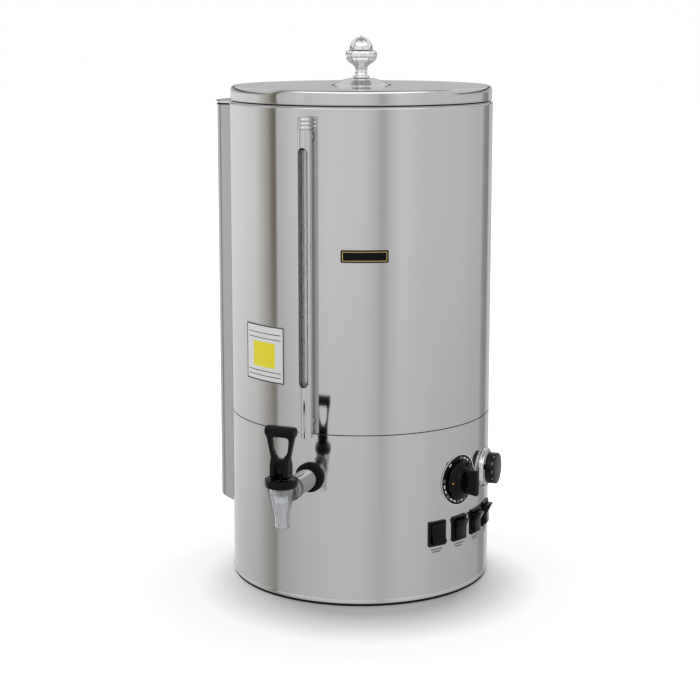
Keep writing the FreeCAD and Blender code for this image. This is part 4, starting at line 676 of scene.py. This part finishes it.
KNOB_PROFILE = (
    (0, -8), (3.0, -8), (3.0, 0), (8.9, 0), (9.9, 0.4), (10.5, 1.2), (10.5, 2.0), (9.9, 2.9), (8.8, 3.6),
    (7.9, 4.6), (7.4, 6.0), (7.2, 8.4), (7.3, 11.0), (7.8, 13.4), (9.2, 15.4), (11.6, 17.1), (14.6, 18.8),
    (17.0, 20.9), (18.6, 23.6), (19.3, 26.4), (19.4, 28.4), (19.1, 30.4), (18.3, 32.2), (17.4, 33.3),
    (16.8, 33.2), (16.0, 32.3), (14.6, 31.9), (14.25, 32.6), (14.3, 34.6), (13.9, 37.2), (13.0, 40.2),
    (11.7, 43.0), (9.9, 45.6), (7.6, 47.7), (4.9, 49.1), (2.3, 49.8), (1.3, 50.1), (1.3, 50.8), (0.8, 51.3),
    (0, 51.4))
CUP_LOW, CUP_HIGH, CUP_LOBES, CUP_DEPTH = 16.0, 33.4, 12, 0.8


def lid_knob():
    """Cast acorn knob. Shallow lobes run up its cup; a dark ring at the top of the cup is painted shade."""
    mesh = turned_mesh(in_mm(KNOB_PROFILE), 168)
    for vertex in mesh.vertices:
        height = vertex.co.z / MM
        if CUP_LOW < height < CUP_HIGH:
            share = math.sin(math.pi * (height - CUP_LOW) / (CUP_HIGH - CUP_LOW)) ** 0.5
            angle = math.atan2(vertex.co.y, vertex.co.x)
            dent = CUP_DEPTH * MM * share * (1 - abs(math.sin(CUP_LOBES / 2 * angle)) ** 0.6)
            reach = math.hypot(vertex.co.x, vertex.co.y)
            vertex.co.x *= 1 - dent / reach
            vertex.co.y *= 1 - dent / reach
    finished("lid_knob_acorn", moved(mesh, (0, 0, DOME_TOP * MM)), chrome, "lid",
             ["lid_knob"])
    # Painted shade: a dark ring in the crease where the acorn meets the cup.
    joint = turned_mesh(in_mm([(13.6, 32.8), (14.7, 32.8), (14.9, 33.4), (14.75, 34.2), (13.6, 34.2)],
                              DOME_TOP))
    finished("lid_knob_joint", joint, rubber, "lid")


# Gauge

GAUGE_PLACE = Vector((0, -171.4 * MM, 0))
CAP_LOW, CAP_RINGS, RING_PITCH = 560.6, 3, 4.6
BACKING_OUTER, BACKING_INNER, BACKING_ENDS = 6.8, 6.3, (262.0, 544.0)


def gauge_cap():
    """Screw cap of the gauge: three rings and a shallow domed end."""
    profile = [(0, 559.7), (8.0, 559.7), (8.0, 560.4)]
    for ring in range(CAP_RINGS):
        base = CAP_LOW + ring * RING_PITCH
        profile += [(6.9, base), (6.9, base + 0.8), (7.9, base + 1.2), (8.25, base + 2.3), (8.0, base + 3.5),
                    (6.9, base + 4.2)]
    profile += [(7.5, 574.6), (6.6, 575.3), (4.0, 575.6), (0, 575.6)]
    mesh = moved(turned_mesh(in_mm(profile), 72), GAUGE_PLACE)
    finished("gauge_cap_ringed", mesh, polished, "root", ["gauge_cap"])


def gauge_backing():
    """Pale half tube behind the glass, so that the level shows."""
    spots = arc((0, 0), BACKING_OUTER, 10, 170, 20) + arc((0, 0), BACKING_INNER, 170, 10, 20)
    builder = bmesh.new()
    rows = [[builder.verts.new((x * MM, y * MM, z * MM)) for x, y in spots] for z in BACKING_ENDS]
    for index in range(len(spots)):
        after = (index + 1) % len(spots)
        builder.faces.new((rows[0][index], rows[0][after], rows[1][after], rows[1][index]))
    for row in rows:
        builder.faces.new(row)
    mesh = baked(moved(mesh_of(builder), GAUGE_PLACE), [("EDGE_SPLIT", {"split_angle": math.radians(40)})])
    finished("gauge_backing", mesh, backing_grey, "root")


def gauge_seal_lip():
    """Black band in the slot's round end: painted shade that darkens the top of the slot."""
    # Painted shade: a black ring just inside the guard's bore at the top of the slot.
    mesh = turned_mesh(in_mm([(6.0, 538.8), (6.9, 538.8), (6.97, 538.9), (6.97, 543.0), (6.0, 543.0)]), 72)
    finished("gauge_seal_lip", moved(mesh, GAUGE_PLACE), rubber, "root")


# Tap

TAP_PLACE = Vector((0, -241.0 * MM, 0))
PIN_HEIGHT, INLET_HEIGHT = 181.5, 154.5
HANDLE_DEPTH, BAR_WIDTH, CHEEK_WIDTH, CHEEK_PLACE = 7.4, 36.0, 6.0, 8.1
VOXEL = 0.42 * MM


def extruded(outline, depth, holes=(), upright=True):
    """A plate from 2-D loops in millimetres, as thick as depth; upright turns its plane to face -Y."""
    curve = bpy.data.curves.new("outline", "CURVE")
    curve.dimensions, curve.fill_mode, curve.extrude = "2D", "BOTH", depth / 2 * MM
    for loop in (outline, *holes):
        spline = curve.splines.new("POLY")
        spline.points.add(len(loop) - 1)
        for point, (x, y) in zip(spline.points, loop):
            point.co = (x * MM, y * MM, 0, 1)
        spline.use_cyclic_u = True
    mesh = final_mesh(bpy.data.objects.new("carrier", curve))
    if upright:
        mesh.transform(Matrix.Rotation(math.radians(90), 4, "X"))
    builder = bmesh.new()
    builder.from_mesh(mesh)
    return mesh_of(builder)


def smooth_loop(corners, steps=6):
    """Round each corner (x, y, radius) of a loop."""
    spots = []
    for index, (x, y, radius) in enumerate(corners):
        here = Vector((x, y))
        before = Vector(corners[index - 1][:2]) - here
        after = Vector(corners[(index + 1) % len(corners)][:2]) - here
        if not radius:
            spots.append((x, y))
            continue
        half = before.angle(after) / 2
        reach = min(radius / math.tan(half), before.length * 0.49, after.length * 0.49)
        start, end = here + before.normalized() * reach, here + after.normalized() * reach
        for step in range(steps + 1):
            share = step / steps
            spot = start * (1 - share) ** 2 + here * 2 * share * (1 - share) + end * share ** 2
            spots.append((spot.x, spot.y))
    return spots


def tap_handle():
    """Moulded loop handle: thick bar, tapering arms, and two cam cheeks either side of the stem's head."""
    outline = smooth_loop([(10.6, 2, 2), (10.3, 12, 6), (13.1, 25, 12), (16.0, 38.5, 6), (18.0, 43.5, 5),
                           (18.1, 52.8, 4.5), (-18.1, 52.8, 4.5), (-18.0, 43.5, 5), (-16.0, 38.5, 6),
                           (-13.1, 25, 12), (-10.3, 12, 6), (-10.6, 2, 2)])
    hole = smooth_loop([(5.2, 15.2, 6.0), (9.6, 25.5, 7.0), (11.0, 40.4, 4.5), (-11.0, 40.4, 4.5),
                        (-9.6, 25.5, 7.0), (-5.2, 15.2, 6.0)])
    loop = baked(extruded(outline, HANDLE_DEPTH, [hole]), [rounding(1.8 * MM)])
    bar = extruded(smooth_loop([(5.6, 41.4, 4.6), (5.6, 52.6, 4.6), (-5.6, 52.6, 4.6), (-5.6, 41.4, 4.6)]),
                   BAR_WIDTH)
    bar.transform(Matrix.Rotation(math.radians(90), 4, "Z"))
    bar = baked(bar, [rounding(3.4 * MM, 4, 50)])
    cheek = smooth_loop([(0, -7.2, 7.3), (7.4, -7.0, 7.2), (7.4, 8, 5), (3.2, 19.5, 3), (-3.2, 19.5, 3),
                         (-7.4, 8, 5), (-7.4, -7.0, 7.2)])
    shapes = [loop, bar]
    for side in (-1, 1):
        plate = extruded(cheek, CHEEK_WIDTH)
        plate.transform(Matrix.Rotation(math.radians(90), 4, "Z"))
        plate = baked(plate, [rounding(1.1 * MM, 2, 40)])
        shapes.append(moved(plate, (side * CHEEK_PLACE * MM, 0, 0)))
    shapes.append(extruded([(6, 8.2), (6, 15), (-6, 15), (-6, 8.2)], 9))
    mesh = baked(joined(shapes), [("REMESH", {"mode": "VOXEL", "voxel_size": VOXEL}),
                                  ("SMOOTH", {"factor": 0.5, "iterations": 6})])
    finished("tap_handle_moulded", moved(mesh, TAP_PLACE + Vector((0, 0, PIN_HEIGHT * MM))), gloss_black,
             "tap_handle", ["tap_handle"])


def along_tap(profile):
    """Turn a profile (radius, distance from the tap's axis towards the wall) round the inlet's axis."""
    mesh = turned_mesh(in_mm(profile))
    mesh.transform(Matrix.Rotation(math.radians(-90), 4, "X"))
    return moved(mesh, TAP_PLACE + Vector((0, 0, INLET_HEIGHT * MM)))


def tap_body():
    """Clear tap body: a tapering spout with walls of one thickness, a side inlet and its flared collar."""
    spout = turned_mesh(in_mm([(0, 117.0), (8.5, 117.0), (9.0, 117.5), (9.1, 129.5), (9.5, 132.0),
                               (15.8, 161.5), (16.2, 163.0), (16.2, 164.7), (13.2, 164.7), (13.2, 168.2),
                               (0, 168.2)]))
    bore = turned_mesh(in_mm([(0, 116.0), (6.5, 116.0), (6.6, 130.5), (6.9, 133.0), (11.6, 157.0),
                              (11.6, 169.0), (0, 169.0)]))
    inlet = along_tap([(0, 2), (10.0, 2), (10.0, 18.4), (11.4, 19.6), (13.4, 23.0), (13.6, 24.5),
                       (13.6, 32.0), (13.0, 33.0), (0, 33.0)])
    passage = along_tap([(0, 4), (8.5, 4), (8.5, 22.0), (12.33, 22.0), (12.33, 34.0), (0, 34.0)])
    helpers = []
    for mesh in (inlet, moved(bore, TAP_PLACE), passage):
        helper = bpy.data.objects.new("helper", mesh)
        bpy.context.collection.objects.link(helper)
        helpers.append(helper)
    steps = [("BOOLEAN", {"operation": operation, "object": helper, "solver": "EXACT"})
             for operation, helper in zip(("UNION", "DIFFERENCE", "DIFFERENCE"), helpers)]
    mesh = baked(moved(spout, TAP_PLACE), steps)
    for helper in helpers:
        bpy.data.objects.remove(helper)
    piece = finished("tap_body_clear", mesh, clear_plastic, "root", ["tap_body"])
    edges = piece.modifiers.new("edges", "EDGE_SPLIT")
    edges.split_angle = math.radians(35)


def tap_spring():
    """Coil spring over the stem under the bonnet, which the lifting stem presses together; this copy keeps
    one shape.
    """
    coil = frame["nodes"]["tap_spring"].data.copy()
    piece = finished("tap_spring_coil", coil, heater, "root", ["tap_spring"])
    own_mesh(piece)


def gasket_lip():
    """Inner lip of the tap's gasket, in front of the shank's flange, which shows as a thin bright ring."""
    lip = along_tap([(12.4, 73.4), (15.0, 73.4), (15.5, 73.9), (15.6, 76.1), (12.4, 76.1)])
    finished("tap_gasket_lip", lip, rubber, "root")


# Thermostat

THERMOSTAT = (69.4, 140.4 * MM)
TIMER = (93.0, 140.4 * MM)
DIAL_FACE = BODY_RADIUS + 0.45 * MM
DIAL_REACH = 26.3 * MM
DIAL_MARKS = ((275, "30"), (5, "40"), (50, "50"), (95, "60"), (140, "70"), (185, "80"), (230, "90"))
DASH_TURNS = (15, 30)
LONE_DASH = 320
GRIP_LOW, GRIP_HEIGHT = 6.7, 20.0


def dial_print():
    """White dashes, plain numbers and a thin ring, printed on the curved dial."""
    dash = box_mesh(1.9 * MM, 4.4 * MM, 0.10 * MM, cuts=3)
    meshes = [ring_of(dash.copy(), len(DASH_TURNS), DIAL_REACH, 90 - start - DASH_TURNS[0],
                      DASH_TURNS[0] - DASH_TURNS[1], white_print) for start, _ in DIAL_MARKS[1:]]
    meshes.append(ring_of(dash.copy(), 1, DIAL_REACH, 90 - LONE_DASH, 0, white_print))
    ring = turned_mesh(in_mm([(30.0, 0), (31.1, 0), (31.1, 0.10), (30.0, 0.10)]), 128)
    mesh = joined(meshes + [ring])
    wrapped(mesh, *THERMOSTAT, DIAL_FACE)
    finished("dial_dashes", mesh, white_print, "root", smooth=False)
    numbers = []
    for angle, words in DIAL_MARKS:
        text = moved(lettering(words, 4.4 * MM), (0, DIAL_REACH, 0))
        text.transform(Matrix.Rotation(-math.radians(angle), 4, "Z"))
        numbers.append(text)
    mesh = joined(numbers)
    wrapped(mesh, *THERMOSTAT, DIAL_FACE)
    finished("dial_numbers", mesh, pale_print, "root", smooth=False)


def thermostat_knob():
    """Dished skirt with a boss and a bar to grip; a small orange mark shows the setting."""
    skirt = turned_mesh(in_mm([(0, -15), (3.0, -15), (3.0, 1.2), (22.9, 1.2), (23.5, 1.6), (23.5, 3.4),
                               (23.1, 4.6), (22.0, 5.4), (20.5, 6.1), (18.4, 7.0), (16.6, 7.7), (15.4, 8.4),
                               (15.0, 9.3), (14.6, 11.2), (13.9, 11.7), (10.0, 11.7), (0, 11.7)]), 128)
    outline = smooth_loop([(4.5, 15.5, 3.8), (-4.5, 15.5, 3.8), (-4.5, -15.5, 3.8), (4.5, -15.5, 3.8)])
    grip = extruded(outline, GRIP_HEIGHT, upright=False)
    moved(grip, (0, 0, (GRIP_LOW + GRIP_HEIGHT / 2) * MM))
    for vertex in grip.vertices:
        outer = (vertex.co.z / MM - GRIP_LOW) / GRIP_HEIGHT
        vertex.co.x *= 1.12 - 0.24 * outer
        vertex.co.y *= 0.97 + 0.03 * outer
    grip = baked(grip, [rounding(0.9 * MM, 3, 50)])
    mesh = joined([skirt, grip])
    mesh.transform(seat(*THERMOSTAT))
    finished("thermostat_knob_moulded", mesh, gloss_black, "thermostat_knob",
             ["thermostat_knob"])
    mark = box_mesh(2.4 * MM, 1.6 * MM, 0.7 * MM, centre=(-19.6 * MM, 0, 6.55 * MM))
    mark.transform(seat(*THERMOSTAT))
    finished("thermostat_mark", mark, orange_print, "thermostat_knob", smooth=False)


# Timer

TIMER_NUMBERS = tuple(range(5, 65, 5))
TIMER_KNOB_RADIUS, TIMER_NUMBER_HEIGHT = 19.0 * MM, 15.0 * MM


def timer_bezel():
    """Bright bezel with a rolled rim and a dished face; its back follows the wall."""
    mesh = turned_mesh(in_mm([(3.6, -2.4), (24.6, -2.4), (25.0, -1.2), (25.0, 0.9), (24.7, 1.3), (23.9, 1.5),
                              (23.7, 2.0), (23.6, 3.4), (23.1, 4.4), (22.2, 5.0), (21.4, 4.9), (20.7, 4.2),
                              (20.2, 3.6), (3.6, 3.5)]), 128)
    mesh.transform(seat(*TIMER))
    for vertex in mesh.vertices:
        flat = Vector((vertex.co.x, vertex.co.y))
        if flat.length < BODY_RADIUS:
            flat *= (BODY_RADIUS + SHEET_LIFT) / flat.length
            vertex.co.x, vertex.co.y = flat
    finished("timer_bezel_rolled", mesh, polished, "root", ["timer_bezel"])


def timer_knob():
    """Black knob with a soft edge and plain minute numbers round its end."""
    mesh = turned_mesh(in_mm([(0, -15), (3.0, -15), (3.0, 5.6), (18.5, 5.6), (19.0, 6.1), (19.0, 16.2),
                              (18.8, 16.9), (18.3, 17.4), (17.6, 17.6), (0, 17.6)]), 128)
    mesh.transform(seat(*TIMER))
    finished("timer_knob_moulded", mesh, knob_black, "timer_knob", ["timer_knob"])
    numbers = []
    for index, minutes in enumerate(TIMER_NUMBERS):
        text = lettering(str(minutes), 3.4 * MM)
        for vertex in text.vertices:
            angle = vertex.co.x / TIMER_KNOB_RADIUS + math.tau * index / len(TIMER_NUMBERS)
            reach = TIMER_KNOB_RADIUS + 0.02 * MM + vertex.co.z
            vertex.co = (reach * math.sin(angle), reach * math.cos(angle), TIMER_NUMBER_HEIGHT - vertex.co.y)
        numbers.append(text)
    mesh = joined(numbers)
    mesh.transform(seat(*TIMER))
    finished("timer_numbers", mesh, pale_print, "timer_knob", smooth=False)


# Switches, plates and labels

SWITCH_AZIMUTHS = tuple(56.3 + 13.1 * index for index in range(4))
SWITCH_HEIGHT = 81.0 * MM
# Bars under a switch: width, height on the wall, cuts
SWITCH_BARS = ((17, -19.6, 8), (12, -22.6, 5))
PLATE = (23.3, 417.0 * MM, BODY_RADIUS + 0.93 * MM)
LABEL = (-24.0, 295.0 * MM, BODY_RADIUS + 0.42 * MM)
LABEL_RULES = (24, 18, -21.5, -27)


def switch_marks():
    """Two plain printed bars under each switch."""
    for index, azimuth in enumerate(SWITCH_AZIMUTHS):
        bars = joined([box_mesh(width * MM, 1.3 * MM, 0.08 * MM, (0, height * MM, 0.06 * MM), cuts)
                       for width, height, cuts in SWITCH_BARS])
        wrapped(bars, azimuth, SWITCH_HEIGHT)
        finished(f"switch_mark_{index + 1}", bars, grey_print, "root", smooth=False)


def plate_border():
    """Thin gold rule round the black name plate."""
    rule = frame_mesh(51.5 * MM, 11.0 * MM, 0.7 * MM, 0.10 * MM)
    wrapped(rule, *PLATE)
    finished("name_plate_rule", rule, gold, "root", smooth=False)


def label_print():
    """Black border and a plain yellow field on the white write-on label."""
    border = frame_mesh(65.6 * MM, 67.6 * MM, 1.5 * MM, 0.08 * MM)
    rules = joined([box_mesh(56 * MM, 0.9 * MM, 0.06 * MM, (0, height * MM, 0.03 * MM), 24)
                    for height in LABEL_RULES])
    field = box_mesh(38 * MM, 30 * MM, 0.06 * MM, (0, -1.5 * MM, 0), 20)
    for name, mesh, coat in (("label_border", border, ink), ("label_rules", rules, ink),
                             ("label_field", field, yellow_print)):
        wrapped(mesh, *LABEL)
        finished(name, mesh, coat, "root", smooth=False)


# Edges of the sheet metal

def seam_seal():
    """Dark band in the gap between the two shells: painted shade, where the gap shows dark."""
    mesh = turned_mesh(in_mm([(158.6, 206.45), (159.5, 206.45), (159.75, 207.0), (159.5, 207.55),
                              (158.6, 207.55)]), FACETS)
    # Painted shade in the seam's gap.
    finished("seam_seal", mesh, rubber, "root")


RISER_MIDDLE, RISER_HALF = Vector((-173.5, 0)), (13.5, 32.0)


def riser_slab(name, low, high, inset, coat, replaces=()):
    """A slab in the outline of the riser's cap, drawn in by the inset (mm)."""
    mesh = copied("riser_cap")
    heights = [vertex.co.z for vertex in mesh.vertices]
    middle = (max(heights) + min(heights)) / 2
    for vertex in mesh.vertices:
        vertex.co.z = (high if vertex.co.z > middle else low) * MM
        for axis in (0, 1):
            centre = RISER_MIDDLE[axis] * MM
            vertex.co[axis] = centre + (vertex.co[axis] - centre) * (1 - inset / RISER_HALF[axis])
    finished(name, mesh, coat, "root", replaces, smooth=False)


def riser_top():
    """Thin lid plate of the riser; under it a chrome edge whose brightness is painted highlight, and a dark
    band of painted shade under the plate's overhang.
    """
    riser_slab("riser_cap_plate", 582.9, 585.0, 0.0, shaded_column_steel, ["riser_cap"])
    # Painted highlight: the plate's own edge in brighter chrome.
    riser_slab("riser_cap_edge", 581.0, 582.9, 1.3, chrome)
    # Painted shade: a black band in the shadow under the overhang.
    riser_slab("riser_gasket", 578.7, 581.0, 1.6, rubber)


def jacket_rim():
    """Rolled upper edge of the jacket, which leans inwards and catches the light."""
    mesh = turned_mesh(in_mm([(159.2, 583.2), (160.5, 583.2), (160.55, 583.4), (160.1, 584.7), (159.6, 585.0),
                              (159.2, 585.0)]), FACETS)
    finished("jacket_rim", mesh, polished, "root")


def housing_hem():
    """Rolled lower edge of the housing, down over the top of the foot ring."""
    mesh = turned_mesh(in_mm([(159.6, 3.2), (160.3, 3.2), (160.5, 3.6), (160.5, 7.4), (160.2, 7.9),
                              (159.6, 7.9)]), FACETS)
    finished("housing_hem", mesh, satin, "root")


BACK_SEAMS = (("housing_seam", 6.8, 205.6), ("jacket_seam", 208.4, 584.2))


def back_seam():
    """The welded joint down the back of both shells."""
    for name, low, top in BACK_SEAMS:
        strip = box_mesh(2.0 * MM, (top - low) * MM, 0.25 * MM, (0, (top - low) / 2 * MM, 0.05 * MM), 3)
        strip = baked(strip, [rounding(0.1 * MM, 2, 40)])
        wrapped(strip, 180.0, low * MM)
        finished(name, strip, shank_steel, "root")


lid_cover()
lid_knob()
gauge_cap()
gauge_backing()
gauge_seal_lip()
tap_handle()
tap_body()
tap_spring()
gasket_lip()
softened("tap_bonnet", gloss_black, 0.5 * MM)
softened("tap_gasket", rubber, 0.4 * MM)
softened("tap_shank", shank_steel, 0.2 * MM)
dial_print()
thermostat_knob()
timer_bezel()
timer_knob()
for number in range(1, 5):
    softened(f"switch_frame_{number}", gloss_black, 0.5 * MM)
    softened(f"rocker_{number}", gloss_black, 0.6 * MM)
switch_marks()
plate_border()
label_print()
softened("cable_gland", gloss_black, 0.5 * MM)
seam_seal()
riser_top()
jacket_rim()
housing_hem()
back_seam()


set_camera()
set_world()
set_floor()
set_lamp("lamp_over", CAMERA_AZIMUTH + 170, 0.7, 2.4, 1.6, 16)
set_lamp("lamp_left", CAMERA_AZIMUTH - 60, 2.2, 1.5, 1.0, 8)
set_lamp("lamp_right", CAMERA_AZIMUTH + 50, 2.2, 1.3, 0.9, 4)
